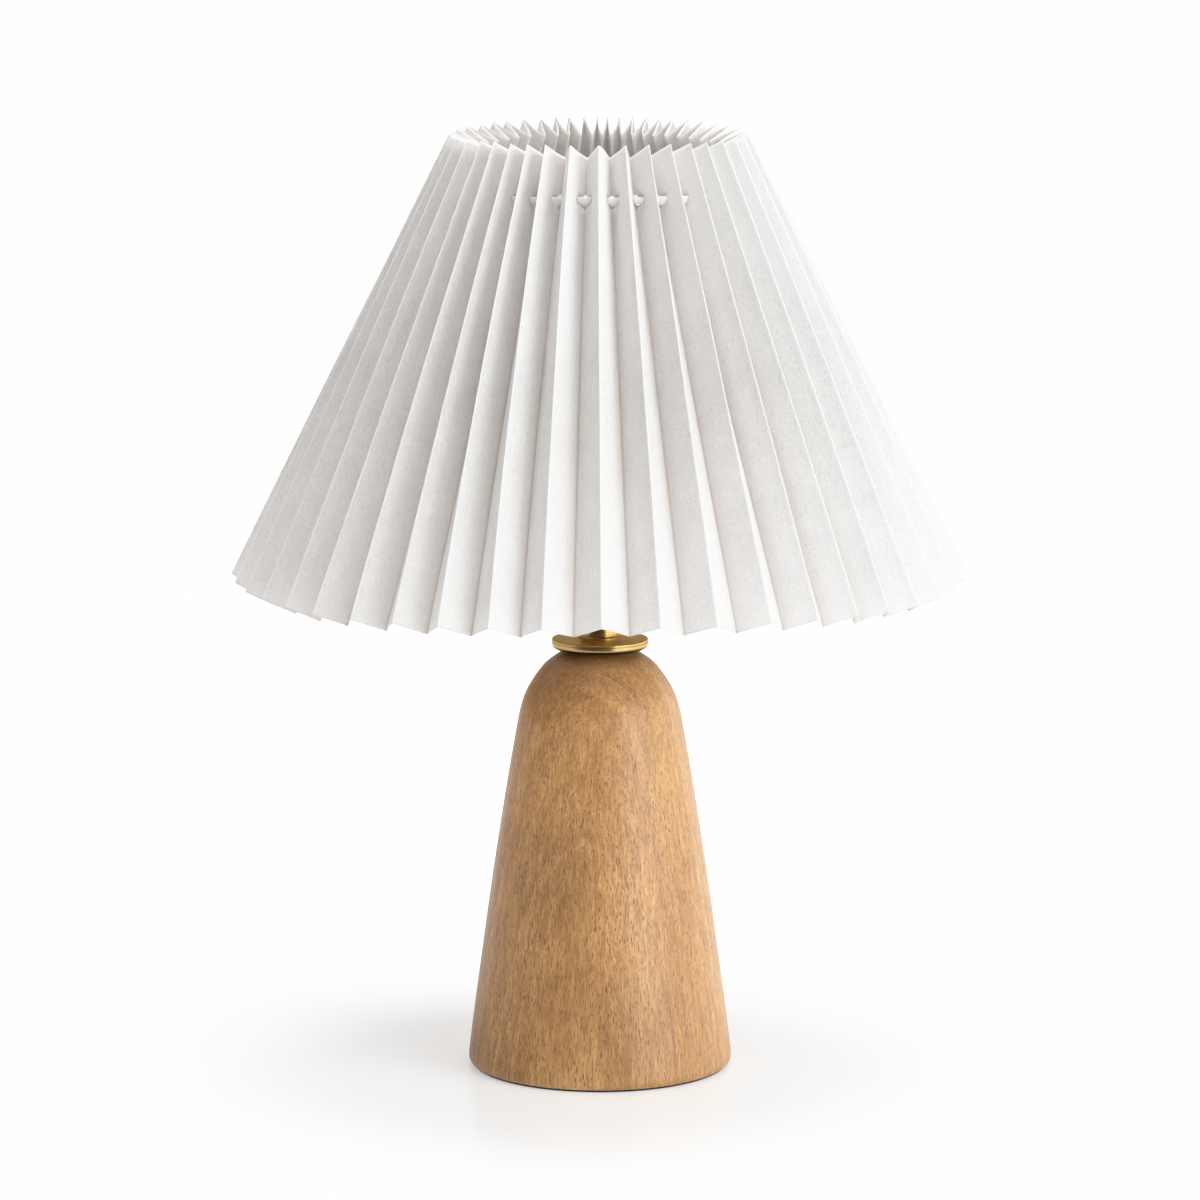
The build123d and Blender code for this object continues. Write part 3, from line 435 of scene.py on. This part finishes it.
def paper_material(name, inside=False):
    mat, tree, bsdf = new_material(name)
    L = tree.links.new
    uv = tree.nodes.new("ShaderNodeUVMap")
    uv.uv_map = "folds"
    sep = tree.nodes.new("ShaderNodeSeparateXYZ")
    L(uv.outputs[0], sep.inputs[0])
    cloud = noise(tree, coords(tree), 60.0, 3.0, 0.6)
    # painted light: the inside copy of the paper is made lighter than the outside, to lift its shaded inner faces
    if inside:
        cloud_col = ramp(tree, [(0.3, (0.900, 0.884, 0.872)), (0.7, (0.935, 0.925, 0.916))])
    else:
        cloud_col = ramp(tree, [(0.3, (0.772, 0.761, 0.754)), (0.7, (0.816, 0.808, 0.802))])
    L(cloud.outputs["Fac"], cloud_col.inputs["Fac"])
    # pressed fibres
    fibre = noise(tree, coords(tree, scale=(1, 1, 0.22), rotation=(0.35, 0.25, 0.5)), 1300.0, 3.0, 0.6, 1.6)
    fibre_col = ramp(tree, [(0.30, (0.87, 0.855, 0.84)), (0.5, (1, 1, 1)), (0.7, (1.03, 1.03, 1.03))])
    L(fibre.outputs["Fac"], fibre_col.inputs["Fac"])
    c1 = mix_colour(tree, 0.9, cloud_col.outputs["Color"], fibre_col.outputs["Color"], "MULTIPLY")
    # small grey and brown specks
    vor = tree.nodes.new("ShaderNodeTexVoronoi")
    vor.inputs["Scale"].default_value = 230.0
    L(coords(tree, scale=(1, 1, 0.6)).outputs[0], vor.inputs["Vector"])
    dot = ramp(tree, [(0.040, grey(1)), (0.068, grey(0))])
    L(vor.outputs["Distance"], dot.inputs["Fac"])
    some = noise(tree, coords(tree, location=(3.1, 0.2, 0.7)), 90.0, 1.0)
    some_mask = ramp(tree, [(0.40, grey(0)), (0.52, grey(1))])
    L(some.outputs["Fac"], some_mask.inputs["Fac"])
    speck = math_node(tree, "MULTIPLY", dot.outputs["Color"], some_mask.outputs["Color"])
    speck = math_node(tree, "MULTIPLY", speck.outputs[0], 0.45)
    c2 = mix_colour(tree, speck.outputs[0], c1, (0.42, 0.36, 0.31))
    # short fibre ends lying across the sheet
    ends = noise(tree, coords(tree, scale=(0.34, 0.34, 1.0), rotation=(0.2, 0.1, 0.3)), 1500.0, 1.0, 0.5, 2.2)
    ends_mask = ramp(tree, [(0.640, grey(0)), (0.69, grey(0.46))])
    L(ends.outputs["Fac"], ends_mask.inputs["Fac"])
    c2 = mix_colour(tree, ends_mask.outputs["Color"], c2, (0.58, 0.51, 0.46))
    # painted shade along every inward fold: a warm dark line at the fold and a broad darkening towards it
    if inside:
        fold_shade = ramp(tree, [(0.45, grey(0)), (0.80, grey(0.16)), (0.94, grey(0.42)), (1.0, grey(1))])
    else:
        fold_shade = ramp(tree, [(0.22, grey(0)), (0.62, grey(0.10)), (0.90, grey(0.30)), (0.968, grey(0.58)), (0.99, grey(1))])
    L(sep.outputs["X"], fold_shade.inputs["Fac"])
    fold_shade_fac = math_node(tree, "MULTIPLY", fold_shade.outputs["Color"], 0.85 if inside else 0.88)
    c3 = mix_colour(tree, fold_shade_fac.outputs[0], c2, (0.50, 0.405, 0.345) if inside else (0.465, 0.400, 0.355))
    # painted highlight along the outward folds
    fold_highlight = ramp(tree, [(0.0, grey(1)), (0.035, grey(0.5)), (0.07, grey(0))])
    L(sep.outputs["X"], fold_highlight.inputs["Fac"])
    fold_highlight_fac = math_node(tree, "MULTIPLY", fold_highlight.outputs["Color"], 0.72)
    c4 = mix_colour(tree, fold_highlight_fac.outputs[0], c3, (0.955, 0.95, 0.94))
    # whiter towards the lower edge; on the outside, painted light makes it whiter still towards the top edge
    lower = ramp(tree, [(0.0, grey(0.16)), (0.40, grey(0))])
    L(sep.outputs["Y"], lower.inputs["Fac"])
    c4 = mix_colour(tree, lower.outputs["Color"], c4, (0.890, 0.885, 0.880))
    top_painted_light = ramp(tree, [(0.50, grey(0)), (1.0, grey(0.0 if inside else 0.58))])
    L(sep.outputs["Y"], top_painted_light.inputs["Fac"])
    c4 = mix_colour(tree, top_painted_light.outputs["Color"], c4, (0.985, 0.975, 0.965))
    L(c4, bsdf.inputs["Base Color"])
    bsdf.inputs["Roughness"].default_value = 0.82
    bsdf.inputs["Specular IOR Level"].default_value = 0.25
    fine = noise(tree, coords(tree), 2400.0, 2.0, 0.6)
    h = math_node(tree, "ADD", fine.outputs["Fac"], fibre.outputs["Fac"])
    b = bump(tree, bsdf, h.outputs[0], 0.80, 0.00023)
    # some light passes through the sheet
    trans = tree.nodes.new("ShaderNodeBsdfTranslucent")
    L(c4, trans.inputs["Color"])
    L(b.outputs[0], trans.inputs["Normal"])
    mix = tree.nodes.new("ShaderNodeMixShader")
    mix.inputs["Fac"].default_value = 0.74 if inside else 0.34
    L(bsdf.outputs[0], mix.inputs[1])
    L(trans.outputs[0], mix.inputs[2])
    out = next(n for n in tree.nodes if n.type == "OUTPUT_MATERIAL")
    L(mix.outputs[0], out.inputs["Surface"])
    return mat


def brass_material(name, dark=0.0, rough=(0.19, 0.26)):
    mat, tree, bsdf = new_material(name)
    L = tree.links.new
    vec = coords(tree)
    sep = tree.nodes.new("ShaderNodeSeparateXYZ")
    L(vec.outputs[0], sep.inputs[0])
    xx = math_node(tree, "MULTIPLY", sep.outputs["X"], sep.outputs["X"])
    yy = math_node(tree, "MULTIPLY", sep.outputs["Y"], sep.outputs["Y"])
    rr = math_node(tree, "SQRT", math_node(tree, "ADD", xx.outputs[0], yy.outputs[0]).outputs[0])
    # lathe marks: they change with radius and height, hardly round the axis
    comb = tree.nodes.new("ShaderNodeCombineXYZ")
    L(math_node(tree, "MULTIPLY", rr.outputs[0], 0.30).outputs[0], comb.inputs[0])
    L(sep.outputs["Z"], comb.inputs[1])
    wobble = noise(tree, vec, 40.0, 2.0)
    L(math_node(tree, "MULTIPLY", wobble.outputs["Fac"], 0.00003).outputs[0], comb.inputs[2])
    marks = noise(tree, comb, 3600.0, 2.0, 0.6)
    tone = noise(tree, vec, 60.0, 2.0, 0.5)
    k = 1.0 - dark
    tone_col = ramp(tree, [(0.3, (0.42 * k, 0.275 * k, 0.108 * k)), (0.7, (0.52 * k, 0.350 * k, 0.142 * k))])
    L(tone.outputs["Fac"], tone_col.inputs["Fac"])
    mark_col = ramp(tree, [(0.3, (0.93, 0.93, 0.93)), (0.6, (1, 1, 1))])
    L(marks.outputs["Fac"], mark_col.inputs["Fac"])
    c = mix_colour(tree, 0.6, tone_col.outputs["Color"], mark_col.outputs["Color"], "MULTIPLY")
    # the face that looks up is brushed and duller than the turned rim and the tube; its colour is also painted lighter
    # and more golden, a painted reflection tone
    geo = tree.nodes.new("ShaderNodeNewGeometry")
    gsep = tree.nodes.new("ShaderNodeSeparateXYZ")
    L(geo.outputs["Normal"], gsep.inputs[0])
    upward = ramp(tree, [(0.80, grey(0)), (0.97, grey(1))])
    L(gsep.outputs["Z"], upward.inputs["Fac"])
    c = mix_colour(tree, upward.outputs["Color"], c, mix_colour(tree, 1.0, c, (1.20, 1.15, 0.99), "MULTIPLY"))
    # painted shade: faces that look down are darkened to near black, for the shaded underside of the disc's rim
    underside_shade = ramp(tree, [(0.04, grey(0)), (0.36, grey(1))])
    L(math_node(tree, "MULTIPLY", gsep.outputs["Z"], -1.0).outputs[0], underside_shade.inputs["Fac"])
    c = mix_colour(tree, underside_shade.outputs["Color"], c, (0.06, 0.032, 0.012))
    L(c, bsdf.inputs["Base Color"])
    bsdf.inputs["Metallic"].default_value = 1.0
    bsdf.inputs["Specular Tint"].default_value = (0.88, 0.78, 0.58, 1.0)
    r = tree.nodes.new("ShaderNodeMapRange")
    r.inputs["To Min"].default_value, r.inputs["To Max"].default_value = rough
    L(marks.outputs["Fac"], r.inputs["Value"])
    dull = math_node(tree, "MULTIPLY", upward.outputs["Color"], 0.14)
    L(math_node(tree, "ADD", r.outputs[0], dull.outputs[0]).outputs[0], bsdf.inputs["Roughness"])
    bump(tree, bsdf, marks.outputs["Fac"], 0.06, 0.00001)
    return mat


def metal_material(name, low, high, rough, scale=900.0, stretch=(1, 1, 1)):
    mat, tree, bsdf = new_material(name)
    L = tree.links.new
    n = noise(tree, coords(tree, scale=stretch), scale, 3.0, 0.6)
    big = noise(tree, coords(tree), 90.0, 2.0)
    both = math_node(tree, "MULTIPLY", math_node(tree, "ADD", n.outputs["Fac"], big.outputs["Fac"]).outputs[0], 0.5)
    col = ramp(tree, [(0.35, low), (0.65, high)])
    L(both.outputs[0], col.inputs["Fac"])
    L(col.outputs["Color"], bsdf.inputs["Base Color"])
    bsdf.inputs["Metallic"].default_value = 1.0
    r = tree.nodes.new("ShaderNodeMapRange")
    r.inputs["To Min"].default_value, r.inputs["To Max"].default_value = rough
    L(both.outputs[0], r.inputs["Value"])
    L(r.outputs[0], bsdf.inputs["Roughness"])
    bump(tree, bsdf, n.outputs["Fac"], 0.2, 0.00003)
    return mat


def plain_material(name, low, high, rough, scale=700.0, bump_mm=0.03, specular=0.5, coat=0.0):
    mat, tree, bsdf = new_material(name)
    L = tree.links.new
    n = noise(tree, coords(tree), scale, 3.0, 0.6)
    big = noise(tree, coords(tree), 70.0, 3.0)
    both = math_node(tree, "MULTIPLY", math_node(tree, "ADD", n.outputs["Fac"], big.outputs["Fac"]).outputs[0], 0.5)
    col = ramp(tree, [(0.35, low), (0.65, high)])
    L(both.outputs[0], col.inputs["Fac"])
    L(col.outputs["Color"], bsdf.inputs["Base Color"])
    r = tree.nodes.new("ShaderNodeMapRange")
    r.inputs["To Min"].default_value, r.inputs["To Max"].default_value = rough
    L(both.outputs[0], r.inputs["Value"])
    L(r.outputs[0], bsdf.inputs["Roughness"])
    bsdf.inputs["Specular IOR Level"].default_value = specular
    bsdf.inputs["Coat Weight"].default_value = coat
    bump(tree, bsdf, n.outputs["Fac"], 0.3, bump_mm * MM)
    return mat


def glass_material():
    mat, tree, bsdf = new_material("clear_glass")
    L = tree.links.new
    n = noise(tree, coords(tree), 35.0, 2.0)
    col = ramp(tree, [(0.3, (0.965, 0.98, 0.98)), (0.7, (0.99, 0.995, 0.995))])
    L(n.outputs["Fac"], col.inputs["Fac"])
    L(col.outputs["Color"], bsdf.inputs["Base Color"])
    bsdf.inputs["Roughness"].default_value = 0.03
    bsdf.inputs["IOR"].default_value = 1.46
    bsdf.inputs["Transmission Weight"].default_value = 1.0
    bump(tree, bsdf, n.outputs["Fac"], 0.05, 0.0002)
    return mat


def filament_material():
    mat, tree, bsdf = new_material("filament_phosphor")
    L = tree.links.new
    n = noise(tree, coords(tree), 900.0, 2.0)
    col = ramp(tree, [(0.3, (0.80, 0.50, 0.10)), (0.7, (0.92, 0.66, 0.20))])
    L(n.outputs["Fac"], col.inputs["Fac"])
    L(col.outputs["Color"], bsdf.inputs["Base Color"])
    bsdf.inputs["Roughness"].default_value = 0.55
    bump(tree, bsdf, n.outputs["Fac"], 0.3, 0.00005)
    return mat


paper = paper_material("pleated_paper")
paper_inside = paper_material("pleated_paper_inside", inside=True)
wood = wood_material()
brass = brass_material("brass_turned")
contact_brass = metal_material("brass_bright", (0.62, 0.44, 0.19), (0.76, 0.57, 0.28), (0.2, 0.38))
steel = metal_material("zinc_steel", (0.42, 0.43, 0.45), (0.60, 0.60, 0.61), (0.28, 0.46))
aluminium = metal_material("cap_aluminium", (0.66, 0.66, 0.67), (0.80, 0.80, 0.81), (0.25, 0.40))
bakelite = plain_material("black_bakelite", (0.012, 0.012, 0.013), (0.028, 0.027, 0.027), (0.22, 0.36), 500.0, 0.03, 0.5, 0.15)
foam = plain_material("base_pad_foam", (0.012, 0.012, 0.012), (0.035, 0.034, 0.033), (0.85, 0.97), 1600.0, 0.10, 0.2)
block_plastic = plain_material("block_plastic", (0.60, 0.59, 0.55), (0.70, 0.69, 0.65), (0.45, 0.6), 600.0, 0.03)
ceramic = plain_material("contact_ceramic", (0.70, 0.68, 0.63), (0.82, 0.80, 0.76), (0.55, 0.75), 1100.0, 0.06, 0.35)
brown_lead = plain_material("lead_brown_pvc", (0.080, 0.034, 0.016), (0.12, 0.052, 0.026), (0.35, 0.5), 500.0, 0.03)
blue_lead = plain_material("lead_blue_pvc", (0.02, 0.05, 0.22), (0.03, 0.08, 0.31), (0.35, 0.5), 500.0, 0.03)
enamel = plain_material("wire_enamel", (0.74, 0.74, 0.72), (0.82, 0.82, 0.80), (0.30, 0.45), 800.0, 0.05, 0.5, 0.2)
glass = glass_material()
phosphor = filament_material()

FINISH = {
    "base_pad": foam, "wood_base": wood, "cable_grommet": bakelite, "threaded_tube": steel,
    "bottom_washer": steel, "bottom_nut": steel, "cap_disc": brass, "neck_tube": brass,
    "terminal_block": block_plastic, "terminal_block_screws": contact_brass,
    "block_mounting_screw": steel, "lead_live": brown_lead, "lead_neutral": blue_lead,
    "switch_link": brown_lead, "holder_cap": bakelite, "cap_grub_screw": steel,
    "holder_skirt": bakelite, "contact_block": ceramic, "contact_screws": contact_brass,
    "screw_shell": contact_brass, "insulating_liner": bakelite, "centre_contact": contact_brass,
    "switch_body": block_plastic, "switch_bush": contact_brass, "switch_nut": contact_brass,
    "switch_rotor": contact_brass, "switch_stem": contact_brass, "switch_knob": bakelite,
    "shade_ring": bakelite, "bulb_tip_contact": contact_brass, "bulb_insulator": bakelite,
    "bulb_screw_cap": aluminium, "bulb_glass": glass, "bulb_stem": glass,
    "led_filaments": phosphor, "filament_supports": steel, "pleated_shade": paper,
    "carrier_top_ring": enamel, "fitter_ring": enamel, "carrier_arms": enamel,
}
for name, mat in FINISH.items():
    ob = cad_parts[name]
    if not ob.material_slots:
        ob.data.materials.append(mat)
    for slot in ob.material_slots:
        slot.material = mat

# ------------------------------------------------------------------ pleated shade
PLEATS = 45
RIDGE_BOTTOM = (150.0, 205.2)
RIDGE_TOP = (61.1, 383.4)
PANEL = 14.8
PAPER_T = 0.36
SLOPE = (RIDGE_BOTTOM[0] - RIDGE_TOP[0]) / (RIDGE_TOP[1] - RIDGE_BOTTOM[1])
rng = random.Random(4507)

# azimuth of every outward fold from the front, degrees; the real ones are uneven, and at
# the top they crowd together towards the back
order = list(range(-22, 23))
low_az = {0: 0.3, 1: 9.0, 2: 17.5, 3: 26.2, 4: 34.3, 5: 42.0, 6: 48.9, 7: 56.6, 8: 64.4,
          -1: -8.5, -2: -16.6, -3: -24.6, -4: -32.3, -5: -40.2, -6: -48.5, -7: -55.5,
          -8: -63.1, -9: -70.7, -10: -78.6}
for k in range(9, 23):
    low_az[k] = low_az[k - 1] + (8.6 if k <= 16 else 7.2)
for k in range(-11, -23, -1):
    low_az[k] = low_az[k + 1] - (8.9 if k >= -16 else 7.4)
top_az = {0: -0.5, 1: 9.6, 2: 18.6, 3: 27.3, 4: 36.1, 5: 44.3, 6: 53.4, 7: 62.4,
          -1: -11.0, -2: -20.8, -3: -28.3, -4: -35.7, -5: -43.8, -6: -51.2,
          22: 177.1, 21: 172.2, 20: 167.0, 19: 161.5, 18: 156.1, 17: 150.2, 16: 143.4, 15: 135.7,
          14: 127.5, 13: 119.5, -22: -179.0, -21: -173.6, -20: -167.7, -19: -162.4, -18: -156.1,
          -17: -148.5, -16: -140.0, -15: -134.0, -14: -126.3}
for k in range(8, 13):
    top_az[k] = top_az[7] + (top_az[13] - top_az[7]) * (k - 7) / 6
for k in range(-7, -14, -1):
    top_az[k] = top_az[-6] + (top_az[-14] - top_az[-6]) * (-6 - k) / 8
low = np.array([low_az[k] + (rng.uniform(-0.35, 0.35) if abs(k) > 8 else 0.0) for k in order])
top = np.array([top_az[k] + (rng.uniform(-0.25, 0.25) if 6 < abs(k) < 14 else 0.0) for k in order])
# the lower edge hangs a little unevenly: height of the folds' lower ends by azimuth, mm
hang = np.interp(low, [-180, -110, -90, -78, -70, -63, -55.5, -48.5, -40, -32, -24.6, -16.6, -8.5, 0.3,
                       9, 17.5, 26, 34, 42, 49, 60, 75, 90, 110, 180],
                 [-0.3, -0.2, -0.3, -0.4, -0.9, -0.9, -1.25, -1.4, -1.0, -0.4, 0.0, 0.45, 1.0, 1.5,
                  1.35, 1.0, 0.8, 0.5, 0.0, -0.3, -0.5, -0.4, -0.2, -0.2, -0.3])

rows = np.unique(np.concatenate([np.linspace(0.0, 1.0, 25), [0.006, 0.02, 0.98, 0.994]]))
nv = len(rows)
ridge_r = np.interp(rows, [0, 1], [RIDGE_BOTTOM[0], RIDGE_TOP[0]])
ridge_z = np.interp(rows, [0, 1], [RIDGE_BOTTOM[1], RIDGE_TOP[1]])

# fold lines wander a little
wave = np.array([
    sum(rng.uniform(-1, 1) / (n + 1) * np.sin(math.pi * n * rows + rng.uniform(0, 6.3)) for n in range(1, 5))
    for _ in range(2 * PLEATS)
])
az = np.radians(low[:, None] + (top - low)[:, None] * rows[None, :])
az = az + 0.22 * wave[:PLEATS] / ridge_r[None, :]
lift_low = hang + np.array([rng.uniform(-0.12, 0.12) for _ in order])
lift_top = np.array([rng.uniform(-0.25, 0.15) for _ in order])
lift_top += np.interp(np.abs(top), [90, 120, 150, 180], [0.0, 0.6, 1.4, 1.6])
out_r = np.array([rng.uniform(-0.35, 0.0) for _ in order])
R = ridge_r[None, :] + out_r[:, None] - 0.12 * np.abs(wave[PLEATS:])
Z = ridge_z[None, :] + lift_low[:, None] * (1 - rows) + (lift_top[:, None] - 0.15) * rows
ridge_pts = np.stack([R * np.sin(az), -R * np.cos(az), Z], axis=-1)

az_next = np.roll(az, -1, axis=0)
az_next[-1] += 2 * math.pi
half = (az_next - az) / 2
mid = (az_next + az) / 2
Rm = (R + np.roll(R, -1, axis=0)) / 2
Zm = (Z + np.roll(Z, -1, axis=0)) / 2
K = SLOPE ** 2
# the paper keeps its width between two folds, so the inward fold's depth follows
b_ = Rm * (np.cos(half) + K)
c_ = Rm ** 2 * (1 + K) - PANEL ** 2
Vr = (b_ - np.sqrt(np.maximum(b_ ** 2 - (1 + K) * c_, 0.0))) / (1 + K)
Vz = Zm - SLOPE * (Rm - Vr)
valley_pts = np.stack([Vr * np.sin(mid), -Vr * np.cos(mid), Vz], axis=-1)


def unit(a):
    return a / np.maximum(np.linalg.norm(a, axis=-1, keepdims=True), 1e-9)


def columns():
    """Columns of points round the shade, from fold to fold, and the u of each."""
    cols, us = [], []
    for k in range(PLEATS):
        r0, v_prev, v0, r1 = ridge_pts[k], valley_pts[k - 1], valley_pts[k], ridge_pts[(k + 1) % PLEATS]
        v1 = valley_pts[(k + 1) % PLEATS]
        for side in (0, 1):
            # side 0 runs from ridge k to valley k, side 1 from valley k to ridge k+1
            a, b = (r0, v0) if side == 0 else (v0, r1)
            before, after = (v_prev, r1) if side == 0 else (r0, v1)
            w = np.linalg.norm(b - a, axis=-1, keepdims=True)
            e = (b - a) / w
            e_before, e_after = unit(before - a), unit(after - b)
            turn_a = np.arccos(np.clip(np.sum(e * e_before, axis=-1, keepdims=True), -1, 1))
            turn_b = np.arccos(np.clip(np.sum(-e * e_after, axis=-1, keepdims=True), -1, 1))
            rho = 0.34
            la = np.clip(rho / np.tan(turn_a / 2), 0.25, 1.3)
            lb = np.clip(rho / np.tan(turn_b / 2), 0.25, 1.3)
            n = unit(np.cross(e, unit(np.gradient(a, axis=0))))
            flip = np.sign(np.sum(n * np.stack([a[:, 0], a[:, 1], 0 * a[:, 2]], axis=-1), axis=-1, keepdims=True))
            n = n * np.where(flip == 0, 1, flip)
            bow1 = rng.uniform(-0.42, 0.30) * (0.6 + 0.4 * rows) + 0.20 * np.sin(math.pi * (rows * rng.uniform(1, 2.4) + rng.random()))
            bow2 = rng.uniform(-0.16, 0.16) * np.ones(nv)
            seq = []
            for t in (0.5, 0.75):
                A, B = a + e_before * la, a + e * la
                seq.append(((1 - t) ** 2 * A + 2 * t * (1 - t) * a + t ** 2 * B, (t - 0.5) * 2 * la / w))
            for s in (0.0, 0.12, 0.3, 0.5, 0.7, 0.88, 1.0):
                d = la + (w - la - lb) * s
                p = a + e * d + n * (bow1[:, None] * math.sin(math.pi * s) + bow2[:, None] * math.sin(2 * math.pi * s))
                seq.append((p, d / w))
            for t in (0.25,):
                A, B = b - e * lb, b + e_after * lb
                seq.append(((1 - t) ** 2 * A + 2 * t * (1 - t) * b + t ** 2 * B, 1 - (0.5 - t) * 2 * lb / w))
            for p, d in seq:
                cols.append(p)
                u = np.broadcast_to(d, (nv, 1))[:, 0]
                us.append(u if side == 0 else 1 - u)
    return np.array(cols), np.array(us)


cols, us = columns()
nc = len(cols)
verts = (cols * MM).reshape(-1, 3)
faces = []
for i in range(nc):
    j = (i + 1) % nc
    for v in range(nv - 1):
        faces.append((i * nv + v, j * nv + v, j * nv + v + 1, i * nv + v + 1))
mesh = bpy.data.meshes.new("shade_paper")
mesh.from_pydata(verts.tolist(), [], faces)
layer = mesh.uv_layers.new(name="folds")
uv_of = np.stack([us.reshape(-1), np.tile(rows, nc)], axis=-1)
loop_v = np.zeros(len(mesh.loops), dtype=np.int64)
mesh.loops.foreach_get("vertex_index", loop_v)
layer.data.foreach_set("uv", uv_of[loop_v].astype(np.float32).ravel())
mesh.polygons.foreach_set("use_smooth", [True] * len(mesh.polygons))
mesh.materials.append(paper)
mesh.update()
shade = bpy.data.objects.new("shade_paper", mesh)
scene.collection.objects.link(shade)
solid = shade.modifiers.new("thickness", "SOLIDIFY")
solid.thickness = PAPER_T * MM
solid.offset = -1.0
solid.use_even_offset = True
solid.thickness_clamp = 0.0

# half-moon straps cut in the inward folds: they hold the top wire ring
SEAT_Z = 362.8
STRAP_S = 6.5       # how far from the inward fold the cut reaches, along the paper
STRAP_H = 3.0
row_seat = np.interp(SEAT_Z, ridge_z, rows)


def at_row(a, v):
    """Fold points at v, between the rows of the table."""
    i = min(int(np.searchsorted(rows, v)), nv - 1)
    t = (v - rows[i - 1]) / (rows[i] - rows[i - 1])
    return a[:, i - 1] * (1 - t) + a[:, i] * t


cut_bm, strap_bm = bmesh.new(), bmesh.new()
strap_uv = strap_bm.loops.layers.uv.new("folds")
v_seat = row_seat + 0.012
ridge_s, valley_s = at_row(ridge_pts, v_seat), at_row(valley_pts, v_seat)
up_s = unit(at_row(valley_pts, v_seat + 0.04) - at_row(valley_pts, v_seat - 0.04))
for k in range(PLEATS):
    r0, vv, r1 = ridge_s[k], valley_s[k], ridge_s[(k + 1) % PLEATS]
    along0, along1 = unit(r0 - vv), unit(r1 - vv)
    across = unit(along1 - along0)
    up_a = up_s[k]
    outward = unit(np.cross(across, up_a))
    if outward[0] * vv[0] + outward[1] * vv[1] < 0:
        outward = -outward
    reach = STRAP_S * rng.uniform(0.94, 1.05)
    size = STRAP_H * rng.uniform(0.94, 1.06)
    hw = float(np.linalg.norm(along1 - along0)) / 2 * reach
    deep = float(np.dot(along0 + along1, outward)) / 2 * reach
    # cutter: a half-ellipse prism through the fold, square to it
    ring_a, ring_b = [], []
    outline = [(-hw, size / 2), (-hw, size / 2 + 0.10), (hw, size / 2 + 0.10), (hw, size / 2)]
    for i in range(1, 14):
        a = math.pi * i / 14
        outline.append((math.cos(a) * hw, size / 2 - math.sin(a) * size))
    for x, y in outline:
        p = vv + across * x + up_a * y
        ring_a.append(cut_bm.verts.new((p - outward * 1.2) * MM))
        ring_b.append(cut_bm.verts.new((p + outward * (deep + 1.0)) * MM))
    n = len(outline)
    cut_bm.faces.new(ring_a)
    cut_bm.faces.new(list(reversed(ring_b)))
    for i in range(n):
        j = (i + 1) % n
        cut_bm.faces.new((ring_a[j], ring_a[i], ring_b[i], ring_b[j]))
    # strap: the cut piece pushed through to the outside, like half of a shallow bowl
    nx, ny = 12, 7
    grid = []
    pop = rng.uniform(0.35, 0.65)
    for i in range(nx + 1):
        q = -1 + 2 * i / nx
        col = []
        for j in range(ny + 1):
            t = j / ny
            round_t = (1 - (0.985 * t) ** 2.5) ** 0.5
            w = hw * round_t
            d = deep * (0.62 + 0.38 * round_t)
            gap = 0.055 * min(1.0, 5 * t) if q < 0 else 0.02 * min(1.0, 5 * t)
            x = q * (w + 0.10) * (1 - gap)
            bulge = pop * (1 - q * q) * (0.45 + 0.55 * round_t)
            y = size / 2 - t * size * 0.97 - 0.5 * bulge * (1 - 0.5 * t)
            p = vv + across * x + up_a * y + outward * (d + bulge - 0.10)
            col.append(strap_bm.verts.new(p * MM))
        grid.append(col)
    for i in range(nx):
        for j in range(ny):
            f = strap_bm.faces.new((grid[i][j], grid[i][j + 1], grid[i + 1][j + 1], grid[i + 1][j]))
            f.smooth = True
            # the straps sit at u=0.80, v=0.9 of the folds map, so they carry part of the painted fold shade and of the
            # painted top light
            for loop in f.loops:
                loop[strap_uv].uv = (0.80, 0.9)
bmesh.ops.recalc_face_normals(cut_bm, faces=cut_bm.faces[:])
cut_mesh = bpy.data.meshes.new("seat_cutter")
cut_bm.to_mesh(cut_mesh)
cut_bm.free()
cutter = bpy.data.objects.new("seat_cutter", cut_mesh)
scene.collection.objects.link(cutter)
boolean = shade.modifiers.new("seats", "BOOLEAN")
boolean.operation = "DIFFERENCE"
boolean.solver = "EXACT"
boolean.object = cutter
bpy.context.view_layer.update()
deps = bpy.context.evaluated_depsgraph_get()
final = bpy.data.meshes.new_from_object(shade.evaluated_get(deps))
shade.modifiers.clear()
shade.data = final
final.name = "shade_paper"
bpy.data.objects.remove(cutter)
final.polygons.foreach_set("use_smooth", [True] * len(final.polygons))
# seen from inside, the painted fold shade and fold highlight change places, more of the light comes through the sheet,
# and the inside copy of the paper is painted lighter
final.materials.append(paper_inside)
uv_data = final.uv_layers["folds"].data
for poly in final.polygons:
    if poly.normal.x * poly.center.x + poly.normal.y * poly.center.y < 0:
        poly.material_index = 1
        for i in poly.loop_indices:
            u, v = uv_data[i].uv
            uv_data[i].uv = (0.965 * (1 - u), v)
print("shade faces", len(final.polygons), "uv", [l.name for l in final.uv_layers])

strap_mesh = bpy.data.meshes.new("seat_straps")
strap_bm.to_mesh(strap_mesh)
strap_bm.free()
strap_mesh.materials.append(paper)
straps = bpy.data.objects.new("seat_straps", strap_mesh)
scene.collection.objects.link(straps)
solid = straps.modifiers.new("thickness", "SOLIDIFY")
solid.thickness = 0.32 * MM
solid.offset = 0.0

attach(shade, "shade")
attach(straps, "shade")
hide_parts("pleated_shade")

# ------------------------------------------------------------------ floor
bpy.ops.mesh.primitive_circle_add(vertices=96, radius=14.0, fill_type="NGON", location=(0, 0, 0))
floor = bpy.context.object
floor.name = "studio_floor"
floor.location.z = -0.0001
floor.data.materials.append(floor_material())
